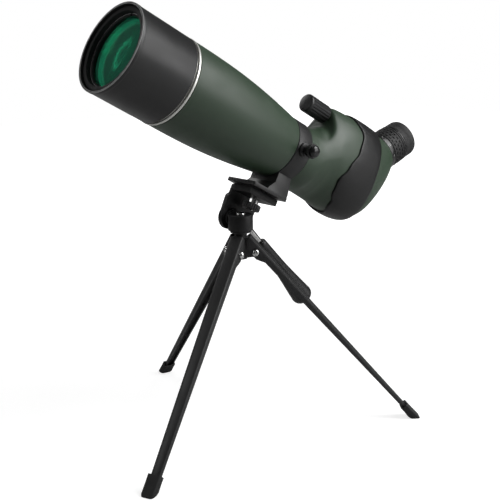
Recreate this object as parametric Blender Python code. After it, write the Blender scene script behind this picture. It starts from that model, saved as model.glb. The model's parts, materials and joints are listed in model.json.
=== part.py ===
"""Angled spotting scope on a pan-and-tilt table tripod. Metres, +Z up, front towards -X."""
import bpy
import bmesh
from math import cos, sin, tan, pi, radians, sqrt, atan2
from mathutils import Matrix, Vector

for old_object in list(bpy.data.objects):
    bpy.data.objects.remove(old_object, do_unlink=True)

# ---------------------------------------------------------------- sizes
gap = 0.0003                 # running gap between neighbouring pieces
slide_gap = 0.0005           # gap between pieces that slide on each other

# pose of the photograph
tube_pitch = radians(28.7)   # nose up

# objective end (stations run along the tube, rear is +X)
shade_front = -0.1610
shade_radius = 0.0450
shade_wall = 0.0021
shade_lip = 0.0035
shade_lip_height = 0.0003
trim_length = 0.0040
trim_height = 0.0004          # how far the silver ring stands over the hood
nose_radius = shade_radius - shade_wall - slide_gap
nose_wall = 0.0025
cell_setback = 0.0025         # the cell's front behind the hood's rim
cell_length = 0.0173
cell_wall = 0.0064
spigot_length = 0.0100
lens_radius = nose_radius - cell_wall
lens_seat_width = 0.0017
lens_setback = 0.0060         # the front lens behind the cell's front
retainer_seat = 0.0016        # bore for the retaining ring, wider than the lens
retainer_overlap = 0.0007
crown_sag = 0.0030
crown_edge = 0.0035
flint_edge = 0.0071
flint_rear_sag = 0.0008
retainer_width = 0.0024
retainer_length = 0.0032
retainer_slot = 0.0012        # depth and half width of the two spanner slots

# rotating collar and its foot
collar_front = 0.0605
collar_width = 0.0206
collar_rear = collar_front + collar_width
collar_radius = 0.0345
collar_wall = 0.0043
collar_bore = collar_radius - collar_wall
collar_edge = 0.0008
foot_front = 0.0340
foot_rear = 0.0850
foot_half_width = 0.0220
foot_drop = 0.0177            # underside of the foot below the collar's ring
foot_bottom = -collar_radius - foot_drop
foot_thickness = 0.0038
foot_corner = 0.0030
pedestal_half_width = 0.0205
lock_height = 0.0022
lock_boss_radius = 0.0078
lock_boss_height = 0.0027     # the boss stands this far out of the ring
lock_boss_reach = collar_radius + lock_boss_height
lock_knob_length = 0.0105
lock_knob_radius = 0.0080
lock_cap_length = 0.0048
lock_cap_radius = 0.0062
lock_shank_radius = 0.0025

# main tube
barrel_front = -0.0904
barrel_rear = collar_front - gap
barrel_front_radius = shade_radius + 0.0001
barrel_rear_radius = collar_radius - 0.0002
# shares of the tube's length and of its narrowing
barrel_shape = ((0.0, 0.0), (0.2218, 0.0093), (0.4343, 0.1111), (0.6401, 0.3426),
                (0.8459, 0.6852), (1.0, 1.0))
barrel_wall = 0.0030
journal_radius = collar_bore - gap
journal_wall = 0.0027
journal_end = collar_rear + 0.0074
baffle_station = -0.0300
baffle_thickness = 0.0025
baffle_length = 0.0050
baffle_lip = 0.0010
baffle_aperture = 0.0290

# prism housing
housing_wall = 0.0032
housing_front = collar_rear + slide_gap
armour_gap = 0.0005
armour_thickness = 0.0020

# focusing
knob_front = 0.0787
knob_rear = 0.1112
knob_radius = 0.0100
knob_drop = 0.0113            # knob's axis below the housing's flat roof
knob_ribs = 14
focus_screw_radius = 0.0020
focus_screw_end = 0.1480
bush_radius = 0.0055
bush_end = 0.1210
carriage_station = 0.1305
carriage_length = 0.0060
carriage_rim = 0.0040
carriage_edge = 0.0008        # the arm is thinner than the rim by this on each side
arm_half_width = 0.0042
arm_overlap = 0.0017          # the arm runs into the rim and the nut by this
nut_radius = 0.0052
nut_overhang = 0.0012
focus_lens_radius = 0.0195
focus_lens_faces = (0.0020, 0.0006, 0.0050, 0.0036)
prism_front = 0.1460
prism_half_width = 0.0140
# (station behind the first prism face, height) round each block
turning_prism_shape = ((0.0, -0.0200), (0.0350, -0.0250), (0.0440, 0.0020), (0.0245, -0.0045),
                       (0.0140, 0.0200), (0.0, 0.0200))
roof_prism_shape = ((0.0535, 0.0100), (0.0445, 0.0040), (0.0256, -0.0015), (0.0180, 0.0180))
prism_exit_distance = 0.0270  # exit face in front of the eyepiece's reference point
prism_exit_half = 0.0140
cage_wall = 0.0018
cage_bottom = -0.0275
cage_floor_thickness = 0.0020
cage_top = 0.0190
cage_web_half_width = 0.0050
cage_setback = 0.0020
cage_length = 0.0250
glass_transmission = 0.9

# eyepiece (stations run along the eyepiece axis)
eyepiece_angle = radians(48.5)
eyepiece_x = 0.2136
eyepiece_z = 0.0595
port_station = -0.0076
port_radius = 0.0229
number_ring_radius = 0.0224
zoom_ring_length = 0.0178
zoom_ring_radius = 0.0220
eyepiece_trim_length = 0.0014
eyepiece_trim_radius = 0.0217
eyecup_end = 0.0359
eyecup_radius = 0.0212
sleeve_radius = 0.0169
sleeve_wall = 0.0022
sleeve_start = -0.0120
sleeve_end = 0.0292
base_spigot = 0.0060
field_lens_faces = (-0.0110, -0.0095, -0.0072, -0.0062)
zoom_cell_start = 0.0005
zoom_cell_length = 0.0070
zoom_lens_radius = 0.0119
zoom_lens_faces = (0.0004, 0.0020, 0.0045, 0.0064)
eye_lens_faces = (-0.0080, -0.0066, -0.0036, -0.0020)    # from the sleeve's end
sleeve_opening = 0.0120
eyecup_opening = 0.0128

# hub
pivot_height = 0.1905
hub_post_radius = 0.0065
hub_disc_radius = 0.0110
hub_disc_rise = 0.0206        # disc's underside above the leg pivots
hub_disc_thickness = 0.0012
hub_disc_bottom = pivot_height + hub_disc_rise
hub_disc_top = hub_disc_bottom + hub_disc_thickness
hub_bottom = pivot_height - 0.0075
pan_washer_thickness = 0.0006

# head
pan_block_radius = 0.0130
pan_block_height = 0.0160
pan_block_bottom = hub_disc_top + pan_washer_thickness + 2.0 * gap
pan_block_top = pan_block_bottom + pan_block_height
tilt_axis_rise = 0.0110       # tilt axis above the block's underside
tilt_axis_height = pan_block_bottom + tilt_axis_rise
block_flat = 0.0120
platform_front = 0.0400
platform_rear = 0.0800
platform_near = -0.0135
platform_far = 0.0182
platform_thickness = 0.0062
platform_edge = 0.0012
ear_corner = 0.0030
ear_shoulder = 0.0065
pad_thickness = 0.0009
wall_inner = 0.0146
ear_inner = 0.0152
tilt_washer_radius = 0.0085
tilt_bolt_radius = 0.0030
tilt_bolt_end = 0.0044
ear_outer = 0.0210
ear_radius = 0.0130
camera_screw_station = 0.0600
camera_screw_radius = 0.0031
wheel_radius = 0.0100
wheel_length = 0.0066
wheel_drop = 0.0063
camera_screw_flange = 0.0048
camera_screw_depth = 0.0064   # reach into the collar's foot
pivot_station = 0.0529        # tilt axis under the tube
pivot_drop = 0.0265           # tilt axis below the platform
handle_angle = radians(20.8)
handle_behind = 0.0131        # handle socket behind and above the tilt axis
handle_above = 0.0049
handle_side = 0.0178
rod_radius = 0.0028
rod_length = 0.0470
rod_sunk = 0.0052
grip_start = 0.0420
grip_length = 0.1000
grip_small_radius = 0.0060
grip_large_radius = 0.0118

# legs
pivot_radius = 0.0148
leg_spread = radians(41.0)
leg_azimuths = {"front": radians(202.8), "left": radians(82.8), "right": radians(322.8)}
leg_top = -0.0165
leg_top_edge = 0.0020         # the open side at the very top
leg_half_width_top = 0.0075
leg_half_width_end = 0.0052
leg_depth_top = 0.0080
leg_depth_end = 0.0042
leg_wall = 0.0018
leg_taper = 0.0024            # how far the open side rises towards the foot
leg_end_height = 0.0035
leg_corner = 0.0022
ear_drop = 0.0045
ear_length = 0.0150           # the deep ears round the pivot end here
lug_corner = 0.0053
pin_radius = 0.0020
pin_head_radius = 0.0038
pin_head_length = 0.0036
pan_screw_radius = 0.0030
pan_screw_end = hub_disc_bottom - 0.0116
pan_screw_head = 0.0050
tilt_bolt_head = 0.0055
boot_wall = 0.0018
boot_length = 0.0105
sole_half_length = 0.0062
sole_half_width = 0.0072
sole_corner = 0.0032
sole_height = 0.0018

cutter_margin = 0.0050        # how far a cutting body runs past what it cuts
large_segments = 36
medium_segments = 24
small_segments = 12


# ---------------------------------------------------------------- materials
def make_material(name, colour, roughness, metallic=0.0, transmission=0.0):
    material = bpy.data.materials.new(name)
    material.use_nodes = True
    shader = material.node_tree.nodes["Principled BSDF"]
    shader.inputs["Base Color"].default_value = (*colour, 1.0)
    shader.inputs["Roughness"].default_value = roughness
    shader.inputs["Metallic"].default_value = metallic
    shader.inputs["Transmission Weight"].default_value = transmission
    material.diffuse_color = (*colour, 1.0)
    return material


green_paint = (0.040, 0.055, 0.042)
satin_black = (0.018, 0.018, 0.018)
soft_rubber = (0.022, 0.022, 0.022)
moulded_black = (0.024, 0.024, 0.025)
bright_steel = (0.62, 0.62, 0.60)
brushed_silver = (0.66, 0.66, 0.63)
brass = (0.60, 0.44, 0.20)
coated_glass = (0.05, 0.30, 0.18)
clear_glass = (0.85, 0.90, 0.88)


# ---------------------------------------------------------------- building blocks
def add_object(name, mesh, parent, colour, roughness, metallic=0.0, transmission=0.0):
    new_object = bpy.data.objects.new(name, mesh)
    bpy.context.scene.collection.objects.link(new_object)
    new_object.parent = parent
    if colour is not None:
        finish = make_material(name + "_finish", colour, roughness, metallic, transmission)
        mesh.materials.append(finish)
    return new_object


def add_empty(name, parent, location, rotation=(0.0, 0.0, 0.0)):
    frame = bpy.data.objects.new(name, None)
    bpy.context.scene.collection.objects.link(frame)
    frame.parent = parent
    frame.location = location
    frame.rotation_euler = rotation
    return frame


def mesh_from(name, points, faces, sharp=35.0, smooth=True):
    mesh = bpy.data.meshes.new(name)
    mesh.from_pydata([tuple(point) for point in points], [], faces)
    shape = bmesh.new()
    shape.from_mesh(mesh)
    bmesh.ops.recalc_face_normals(shape, faces=shape.faces)
    shape.to_mesh(mesh)
    shape.free()
    if smooth:
        mesh.shade_smooth()
        mesh.set_sharp_from_angle(angle=radians(sharp))
    mesh.update()
    return mesh


def turned(name, profile, segments, ribs=0, rib_depth=0.0, ribbed=()):
    """Mesh turned about the local X axis from a closed outline of (station, radius)."""
    points = []
    rings = []
    count = ribs * 4 if ribs else segments
    for index, (station, radius) in enumerate(profile):
        if radius <= 0.0:
            points.append((station, 0.0, 0.0))
            rings.append([len(points) - 1] * count)
            continue
        ring = []
        for step in range(count):
            turn = 2.0 * pi * step / count
            here = radius
            if index in ribbed and step % 4 < 2:
                here = radius - rib_depth
            points.append((station, here * sin(turn), here * cos(turn)))
            ring.append(len(points) - 1)
        rings.append(ring)
    faces = []
    for index, ring in enumerate(rings):
        following = rings[(index + 1) % len(rings)]
        if ring[0] == ring[1] and following[0] == following[1]:
            continue
        for step in range(count):
            after = (step + 1) % count
            corners = []
            for corner in (ring[step], ring[after], following[after], following[step]):
                if corner not in corners:
                    corners.append(corner)
            if len(corners) > 2:
                faces.append(corners)
    return mesh_from(name, points, faces)


def extruded(name, outline, start, end, axis="Y", smooth=True):
    """Mesh of a flat outline pushed along one axis. Outline pairs are the other two axes."""
    points = []
    for depth in (start, end):
        for first, second in outline:
            if axis == "Y":
                points.append((first, depth, second))
            elif axis == "Z":
                points.append((first, second, depth))
            else:
                points.append((depth, first, second))
    count = len(outline)
    faces = [list(range(count)), list(range(count, 2 * count))]
    for index in range(count):
        after = (index + 1) % count
        faces.append([index, after, count + after, count + index])
    return mesh_from(name, points, faces, smooth=smooth)


def lofted(name, rings, closed_ends=True, ring_loop=False):
    """Mesh through closed rings of points, all with the same number of points."""
    points = []
    for ring in rings:
        points.extend(ring)
    count = len(rings[0])
    faces = []
    spans = len(rings) if ring_loop else len(rings) - 1
    for row in range(spans):
        below = (row + 1) % len(rings)
        for step in range(count):
            after = (step + 1) % count
            faces.append([row * count + step, row * count + after,
                          below * count + after, below * count + step])
    if closed_ends and not ring_loop:
        faces.append(list(range(count)))
        last = (len(rings) - 1) * count
        faces.append(list(range(last, last + count)))
    return mesh_from(name, points, faces)


def rounded_box(half_width, half_depth, corner, steps=3):
    """Outline of a rectangle with rounded corners."""
    outline = []
    for quarter, (sign_a, sign_b) in enumerate(((1, 1), (-1, 1), (-1, -1), (1, -1))):
        for step in range(steps + 1):
            turn = pi / 2.0 * (quarter + step / steps)
            outline.append((sign_a * (half_width - corner) + corner * cos(turn),
                            sign_b * (half_depth - corner) + corner * sin(turn)))
    return outline


def arc(centre_a, centre_b, radius, first, last, steps):
    """Points of a circular arc, angles in degrees."""
    outline = []
    for step in range(steps + 1):
        turn = radians(first + (last - first) * step / steps)
        outline.append((centre_a + radius * cos(turn), centre_b + radius * sin(turn)))
    return outline


def disc_profile(radius, start, end, chamfer=0.0):
    """Outline of a solid disc turned about X."""
    if chamfer <= 0.0:
        return [(start, 0.0), (start, radius), (end, radius), (end, 0.0)]
    return [(start, 0.0), (start, radius - chamfer), (start + chamfer, radius),
            (end - chamfer, radius), (end, radius - chamfer), (end, 0.0)]


def ring_profile(inner, outer, start, end, chamfer=0.0):
    """Outline of a plain ring turned about X."""
    if chamfer <= 0.0:
        return [(start, inner), (start, outer), (end, outer), (end, inner)]
    return [(start, inner), (start, outer - chamfer), (start + chamfer, outer),
            (end - chamfer, outer), (end, outer - chamfer), (end, inner)]


def lens_profile(radius, front_vertex, front_edge, rear_edge, rear_vertex, steps=3):
    """Outline of a lens turned about X, with parabolic faces."""
    outline = []
    for step in range(steps + 1):
        share = step / steps
        outline.append((front_vertex + (front_edge - front_vertex) * share ** 2, radius * share))
    for step in range(steps, -1, -1):
        share = step / steps
        outline.append((rear_vertex + (rear_edge - rear_vertex) * share ** 2, radius * share))
    return outline


def add_boolean(target, other, operation):
    modifier = target.modifiers.new(operation.lower() + "_" + other.name, "BOOLEAN")
    modifier.operation = operation
    modifier.solver = "EXACT"
    modifier.object = other
    other.hide_render = True
    other.display_type = "WIRE"


def add_cutter(name, mesh, parent, location=(0.0, 0.0, 0.0), rotation=(0.0, 0.0, 0.0)):
    cutter = bpy.data.objects.new(name, mesh)
    bpy.context.scene.collection.objects.link(cutter)
    cutter.parent = parent
    cutter.location = location
    cutter.rotation_euler = rotation
    cutter.hide_render = True
    cutter.display_type = "WIRE"
    return cutter


turn_to_z = (0.0, -pi / 2.0, 0.0)    # local X towards +Z
turn_to_y = (0.0, 0.0, pi / 2.0)     # local X towards +Y
turn_to_near = (0.0, 0.0, -pi / 2.0)  # local X towards -Y

root = add_empty("spotting_scope", None, (0.0, 0.0, 0.0))


# ---------------------------------------------------------------- hub and legs
def leg_point(along, normal, side):
    """Leg frame to hub frame: along the leg, away from its web, across it."""
    return (along * sin(leg_spread) + normal * cos(leg_spread), side,
            -along * cos(leg_spread) + normal * sin(leg_spread))


leg_end = (pivot_height - leg_end_height) / cos(leg_spread)
leg_middle = (ear_length + leg_end) / 2.0
stations = ((leg_top, leg_top_edge), (-ear_length / 2.0, -ear_drop),
            (0.4 * ear_length, -ear_drop), (ear_length, 0.0), (leg_middle, leg_taper / 2.0),
            (leg_end, leg_taper))


def leg_section(along, lower):
    share = max(0.0, along) / leg_end
    half = leg_half_width_top + (leg_half_width_end - leg_half_width_top) * share
    deep = leg_depth_top + (leg_depth_end + leg_taper - leg_depth_top) * share
    corner = leg_corner
    outline = [(lower, -half), (deep - corner, -half)]
    outline += [(deep - 0.3 * corner, -half + 0.3 * corner), (deep, -half + corner)]
    outline += [(deep, half - corner), (deep - 0.3 * corner, half - 0.3 * corner)]
    outline += [(deep - corner, half), (lower, half)]
    outline += [(lower, half - leg_wall), (deep - leg_wall, half - leg_wall)]
    outline += [(deep - leg_wall, -half + leg_wall), (lower, -half + leg_wall)]
    return [leg_point(along, normal, side) for normal, side in outline]


def boot_ring(along, half_width, half_depth, corner):
    middle = leg_taper + leg_depth_end / 2.0
    return [leg_point(along, middle + deep, wide)
            for wide, deep in rounded_box(half_width, half_depth, corner)]


def sole_ring(height, grow):
    """Level ring at a height above the ground, seen from the pivot."""
    drop = pivot_height - height
    middle = drop * tan(leg_spread) + (leg_taper + leg_depth_end / 2.0) / cos(leg_spread)
    return [(middle + deep, wide, -drop)
            for wide, deep in rounded_box(sole_half_width + grow, sole_half_length + grow, sole_corner)]


pin_middle = leg_half_width_top + gap
pin_profile = [(-pin_middle - pin_head_length, 0.0),
               (-pin_middle - pin_head_length, pin_head_radius * 0.72),
               (-pin_middle - pin_head_length * 0.45, pin_head_radius),
               (-pin_middle, pin_head_radius), (-pin_middle, pin_radius),
               (pin_middle, pin_radius), (pin_middle, pin_head_radius),
               (pin_middle + pin_head_length * 0.45, pin_head_radius),
               (pin_middle + pin_head_length, pin_head_radius * 0.72),
               (pin_middle + pin_head_length, 0.0)]

hub_mesh = turned("hub", [(hub_bottom, 0.0), (hub_bottom, hub_post_radius),
                          (hub_disc_bottom, hub_post_radius),
                          (hub_disc_bottom, hub_disc_radius), (hub_disc_top, hub_disc_radius),
                          (hub_disc_top, 0.0)], medium_segments)
hub = add_object("hub", hub_mesh, root, moulded_black, 0.42)
hub.rotation_euler = turn_to_z

lug_half = leg_half_width_top - leg_wall - gap
lug_reach = leg_depth_top - leg_wall - slide_gap
upper_along = leg_top + pan_washer_thickness + 2.0 * gap
upper = leg_point(upper_along, lug_reach, 0.0)
middle_point = leg_point(0.0, lug_reach, 0.0)
lug_root = hub_post_radius / 6.0
lug_outline = [(lug_root, pivot_height - lug_corner - 3.0 * gap),
               (pivot_radius - lug_corner / 2.0, pivot_height - lug_corner)]
lug_outline += arc(pivot_radius, pivot_height, lug_corner, -80.0, 30.0, 5)
lug_outline += [(pivot_radius + middle_point[0], pivot_height + middle_point[2]),
                (pivot_radius + upper[0], pivot_height + upper[2]),
                (lug_root, pivot_height + upper[2])]

for leg_name, azimuth in leg_azimuths.items():
    heading = (0.0, 0.0, azimuth)
    lug = add_cutter("lug_" + leg_name, extruded("lug_" + leg_name, lug_outline, -lug_half, lug_half),
                     root, (0.0, 0.0, 0.0), heading)
    add_boolean(hub, lug, "UNION")

for leg_name, azimuth in leg_azimuths.items():
    pivot = add_empty("pivot_" + leg_name, root,
                      (pivot_radius * cos(azimuth), pivot_radius * sin(azimuth), pivot_height),
                      (0.0, 0.0, azimuth))
    bore = add_cutter("pin_bore_" + leg_name,
                      turned("pin_bore_" + leg_name,
                             disc_profile(pin_radius + gap, -pin_middle - 2.0 * cutter_margin,
                                          pin_middle + 2.0 * cutter_margin), small_segments),
                      pivot, (0.0, 0.0, 0.0), turn_to_y)
    add_boolean(hub, bore, "DIFFERENCE")
    leg_mesh = lofted("leg_" + leg_name, [leg_section(along, lower) for along, lower in stations])
    leg = add_object("leg_" + leg_name, leg_mesh, pivot, moulded_black, 0.45)
    add_boolean(leg, bore, "DIFFERENCE")
    pin = add_object("leg_pin_" + leg_name, turned("leg_pin_" + leg_name, pin_profile, small_segments),
                     pivot, bright_steel, 0.22, 1.0)
    pin.rotation_euler = turn_to_y
    socket_width = leg_half_width_end + gap
    socket_depth = leg_depth_end / 2.0 + gap
    boot_top = leg_end - boot_length
    grown = (leg_half_width_top - leg_half_width_end) * boot_length / leg_end
    rings = [boot_ring(boot_top, socket_width + boot_wall + grown, socket_depth + boot_wall, 0.0024),
             boot_ring(leg_end - 0.4 * boot_length, socket_width + boot_wall, socket_depth + boot_wall,
                       0.0026),
             sole_ring(sole_height, 0.0), sole_ring(0.0, -sole_height / 3.0)]
    inner = [boot_ring(leg_end + gap, socket_width, socket_depth, gap),
             boot_ring(boot_top, socket_width + grown, socket_depth + 1.5 * grown, gap)]
    boot_mesh = lofted("foot_" + leg_name, rings + inner, ring_loop=False, closed_ends=False)
    shape = bmesh.new()
    shape.from_mesh(boot_mesh)
    count = len(rings[0])
    shape.verts.ensure_lookup_table()
    unwanted = [face for face in shape.faces
                if {vertex.index // count for vertex in face.verts} == {3, 4}]
    bmesh.ops.delete(shape, geom=unwanted, context="FACES")
    shape.verts.ensure_lookup_table()
    for first_row in (3, 4):
        shape.faces.new([shape.verts[first_row * count + step] for step in range(count)])
    for step in range(count):
        after = (step + 1) % count
        shape.faces.new([shape.verts[5 * count + step], shape.verts[5 * count + after],
                         shape.verts[after], shape.verts[step]])
    bmesh.ops.recalc_face_normals(shape, faces=shape.faces)
    shape.to_mesh(boot_mesh)
    shape.free()
    boot_mesh.shade_smooth()
    boot_mesh.set_sharp_from_angle(angle=radians(40.0))
    add_object("foot_" + leg_name, boot_mesh, pivot, soft_rubber, 0.75)

# ---------------------------------------------------------------- pan head
pan_frame = add_empty("pan_frame", root, (0.0, 0.0, 0.0))
washer_top = pan_block_bottom - gap
pan_washer = add_object("pan_washer", turned("pan_washer", ring_profile(
    pan_screw_radius + gap, hub_disc_radius - gap, hub_disc_top + gap, washer_top),
    medium_segments), root, soft_rubber, 0.6)
pan_washer.rotation_euler = turn_to_z

flat_angle = atan2(block_flat, sqrt(pan_block_radius ** 2 - block_flat ** 2))
flat_degrees = flat_angle * 180.0 / pi
block_outline = arc(0.0, 0.0, pan_block_radius, 180.0 - flat_degrees, 360.0 + flat_degrees, 34)
pan_block = add_object("pan_block", extruded("pan_block", block_outline, pan_block_bottom,
                                             pan_block_top, axis="Z"), pan_frame, moulded_black, 0.4)
pan_bore_mesh = turned("pan_bore", disc_profile(
    pan_screw_radius + gap, pan_block_bottom - cutter_margin, pan_block_top + cutter_margin),
                       small_segments)
pan_bore = add_cutter("pan_bore", pan_bore_mesh, root, (0.0, 0.0, 0.0), turn_to_z)
add_boolean(pan_block, pan_bore, "DIFFERENCE")
hub_bore_mesh = turned("hub_bore", disc_profile(
    pan_screw_radius + gap, pan_screw_end - 3.0 * gap, hub_disc_top + cutter_margin),
                       small_segments)
hub_bore = add_cutter("hub_bore", hub_bore_mesh, root, (0.0, 0.0, 0.0), turn_to_z)
add_boolean(hub, hub_bore, "DIFFERENCE")
pan_head_start = pan_block_top + gap
pan_screw = add_object("pan_screw", turned("pan_screw", [
    (pan_screw_end, 0.0), (pan_screw_end, pan_screw_radius - 0.0004),
    (pan_screw_end + 0.0010, pan_screw_radius), (pan_head_start, pan_screw_radius),
    (pan_head_start, pan_screw_head), (pan_head_start + 0.32 * pan_screw_head, pan_screw_head),
    (pan_head_start + 0.5 * pan_screw_head, 0.72 * pan_screw_head),
    (pan_head_start + 0.5 * pan_screw_head, 0.0)], small_segments),
    root, bright_steel, 0.2, 1.0)
pan_screw.rotation_euler = turn_to_z

# ---------------------------------------------------------------- tilting bracket
tilt_frame = add_empty("tilt_frame", root, (0.0, 0.0, tilt_axis_height))
platform_top = foot_bottom - pad_thickness - 2.0 * gap
platform_bottom = platform_top - platform_thickness
pivot_x = pivot_station
pivot_z = platform_bottom - pivot_drop
tube_offset = -pivot_x * cos(tube_pitch) - pivot_z * sin(tube_pitch)
tube_height = tilt_axis_height + pivot_x * sin(tube_pitch) - pivot_z * cos(tube_pitch)
tube_frame = add_empty("tube_frame", root, (tube_offset, 0.0, tube_height), (0.0, tube_pitch, 0.0))
handle_station = pivot_x + handle_behind
handle_height = pivot_z + handle_above
wall_bottom = pivot_z + tilt_washer_radius + 2.0 * gap
wall_outline = [(platform_near, platform_top), (platform_near, platform_bottom),
                (wall_inner, platform_bottom), (wall_inner, wall_bottom),
                (platform_far, wall_bottom), (platform_far, platform_top - platform_edge),
                (platform_far - platform_edge, platform_top)]
bracket = add_object("tilt_bracket", extruded("tilt_bracket", wall_outline, platform_front,
                                              platform_rear, axis="X"), tube_frame,
                     moulded_black, 0.4)
ear_outline = arc(pivot_x, pivot_z, ear_radius, 165.0, 350.0, 18)
ear_outline += [(handle_station + 0.0050, handle_height - 0.0036),
                (handle_station + 0.0080, handle_height + 0.0030),
                (platform_rear - 1.3 * ear_corner, platform_bottom - 2.7 * ear_corner)]
ear_outline += arc(platform_rear - 2.3 * ear_corner, platform_bottom - 1.7 * ear_corner, ear_corner,
                   20.0, 90.0, 3)
ear_outline += arc(pivot_x - 1.14 * ear_shoulder, platform_bottom - 1.4 * ear_shoulder, ear_shoulder,
                   90.0, 170.0, 5)
ear_block = add_cutter("bracket_ear", extruded("bracket_ear", ear_outline, ear_inner, ear_outer),
                       tube_frame)
add_boolean(bracket, ear_block, "UNION")
tilt_bore = add_cutter("tilt_bore", turned("tilt_bore", disc_profile(
    tilt_bolt_radius + gap, tilt_bolt_end - slide_gap, ear_outer + cutter_margin), small_segments),
                       tube_frame, (pivot_x, 0.0, pivot_z), turn_to_y)
add_boolean(bracket, tilt_bore, "DIFFERENCE")
add_boolean(pan_block, tilt_bore, "DIFFERENCE")
screw_bore = add_cutter("screw_bore", turned("screw_bore", disc_profile(
    camera_screw_radius + gap, platform_bottom - cutter_margin,
    foot_bottom + camera_screw_depth + 2.0 * gap), small_segments), tube_frame,
    (camera_screw_station, 0.0, 0.0), turn_to_z)
add_boolean(bracket, screw_bore, "DIFFERENCE")
handle_bore = add_cutter("handle_bore", turned("handle_bore", disc_profile(
    rod_radius + gap, -rod_sunk - 3.0 * gap, rod_length), small_segments), tube_frame,
    (handle_station, handle_side, handle_height), (0.0, handle_angle, 0.0))
add_boolean(bracket, handle_bore, "DIFFERENCE")

tilt_washer = add_object("tilt_washer", turned("tilt_washer", ring_profile(
    tilt_bolt_radius + gap, tilt_washer_radius, block_flat + gap, ear_inner - gap),
    medium_segments), tube_frame,
    soft_rubber, 0.6)
tilt_washer.location = (pivot_x, 0.0, pivot_z)
tilt_washer.rotation_euler = turn_to_y
tilt_bolt = add_object("tilt_bolt", turned("tilt_bolt", [
    (tilt_bolt_end, 0.0), (tilt_bolt_end, tilt_bolt_radius - 0.0004),
    (tilt_bolt_end + 0.0006, tilt_bolt_radius), (ear_outer + gap, tilt_bolt_radius),
    (ear_outer + gap, tilt_bolt_head), (ear_outer + 0.55 * tilt_bolt_head, tilt_bolt_head),
    (ear_outer + 0.65 * tilt_bolt_head, 0.84 * tilt_bolt_head),
    (ear_outer + 0.65 * tilt_bolt_head, 0.0)], small_segments), tube_frame, bright_steel, 0.25, 1.0)
tilt_bolt.location = (pivot_x, 0.0, pivot_z)
tilt_bolt.rotation_euler = turn_to_y

pad = add_object("platform_pad", extruded("platform_pad", [
    (platform_front + 2.0 * gap, platform_near + 2.0 * gap),
    (platform_rear - 2.0 * gap, platform_near + 2.0 * gap),
    (platform_rear - 2.0 * gap, platform_far - platform_edge - 2.0 * gap),
    (platform_front + 2.0 * gap, platform_far - platform_edge - 2.0 * gap)],
    platform_top + gap, foot_bottom - gap, axis="Z"), tube_frame, soft_rubber, 0.8)
add_boolean(pad, screw_bore, "DIFFERENCE")

wheel_top = platform_bottom - wheel_drop
wheel = add_object("camera_screw_wheel", turned("camera_screw_wheel", ring_profile(
    camera_screw_radius + gap, wheel_radius, wheel_top - wheel_length, wheel_top, 0.0006),
    medium_segments, ribs=12, rib_depth=0.0007, ribbed=(2, 3)), tube_frame, moulded_black, 0.4)
wheel.location = (camera_screw_station, 0.0, 0.0)
wheel.rotation_euler = turn_to_z
screw_tip = foot_bottom + camera_screw_depth
screw_foot = wheel_top - wheel_length - 2.0 * gap
camera_screw = add_object("camera_screw", turned("camera_screw", [
    (screw_foot, 0.0), (screw_foot, camera_screw_radius - slide_gap),
    (wheel_top - wheel_length, camera_screw_radius), (wheel_top + gap, camera_screw_radius),
    (wheel_top + gap, camera_screw_flange), (platform_bottom - gap, camera_screw_flange),
    (platform_bottom - gap, camera_screw_radius), (screw_tip - 2.0 * gap, camera_screw_radius),
    (screw_tip, camera_screw_radius - 2.0 * gap), (screw_tip, 0.0)], small_segments),
    tube_frame, bright_steel, 0.28, 1.0)
camera_screw.location = (camera_screw_station, 0.0, 0.0)
camera_screw.rotation_euler = turn_to_z

handle_frame = add_empty("handle_frame", tube_frame, (handle_station, handle_side, handle_height),
                         (0.0, handle_angle, 0.0))
rod = add_object("handle_rod", turned("handle_rod", disc_profile(
    rod_radius, -rod_sunk, rod_length, slide_gap), small_segments), handle_frame,
    bright_steel, 0.18, 1.0)
grip_end = grip_start + grip_length
grip_profile = [(rod_length + gap, 0.0), (rod_length + gap, rod_radius + gap),
                (grip_start, rod_radius + gap), (grip_start, grip_small_radius - 0.0008),
                (grip_start + 0.0010, grip_small_radius),
                (grip_start + 0.45 * grip_length, 0.0074),
                (grip_end - 0.0160, grip_large_radius - 0.0006),
                (grip_end - 0.0070, grip_large_radius),
                (grip_end - 0.0022, grip_large_radius - 0.0025),
                (grip_end, grip_large_radius - 0.0065), (grip_end, 0.0)]
add_object("handle_grip", turned("handle_grip", grip_profile, 28), handle_frame,
           moulded_black, 0.45)

# ---------------------------------------------------------------- collar
collar = add_object("tripod_collar", turned("tripod_collar", ring_profile(
    collar_bore, collar_radius, collar_front, collar_rear, collar_edge), large_segments),
    tube_frame, satin_black, 0.38)
foot_middle = (foot_front + foot_rear) / 2.0
foot_outline = [(foot_middle + along, across) for along, across in rounded_box(
    (foot_rear - foot_front) / 2.0, foot_half_width, foot_corner)]
foot_plate = add_cutter("foot_plate", extruded(
    "foot_plate", foot_outline, foot_bottom, foot_bottom + foot_thickness, axis="Z"), tube_frame)
pedestal_top = -sqrt(collar_radius ** 2 - pedestal_half_width ** 2)
pedestal_outline = [(collar_front + 0.0012, pedestal_top), (collar_front + 0.0012, -0.0385),
                    (collar_front - 0.0050, foot_bottom + 0.0062),
                    (collar_front - 0.0060, foot_bottom + 0.0012),
                    (foot_rear - 0.0010, foot_bottom + 0.0012),
                    (foot_rear - 0.0010, foot_bottom + 0.0072),
                    (collar_rear - 0.0012, pedestal_top)]
pedestal = add_cutter("collar_pedestal", extruded(
    "collar_pedestal", pedestal_outline, -pedestal_half_width, pedestal_half_width), tube_frame)
boss = add_cutter("lock_boss", turned("lock_boss", disc_profile(
    lock_boss_radius, collar_bore + collar_edge, lock_boss_reach, collar_edge), 24), tube_frame,
    (collar_front + collar_width / 2.0, 0.0, lock_height), turn_to_near)
add_boolean(collar, foot_plate, "UNION")
add_boolean(collar, pedestal, "UNION")
add_boolean(collar, boss, "UNION")
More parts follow.
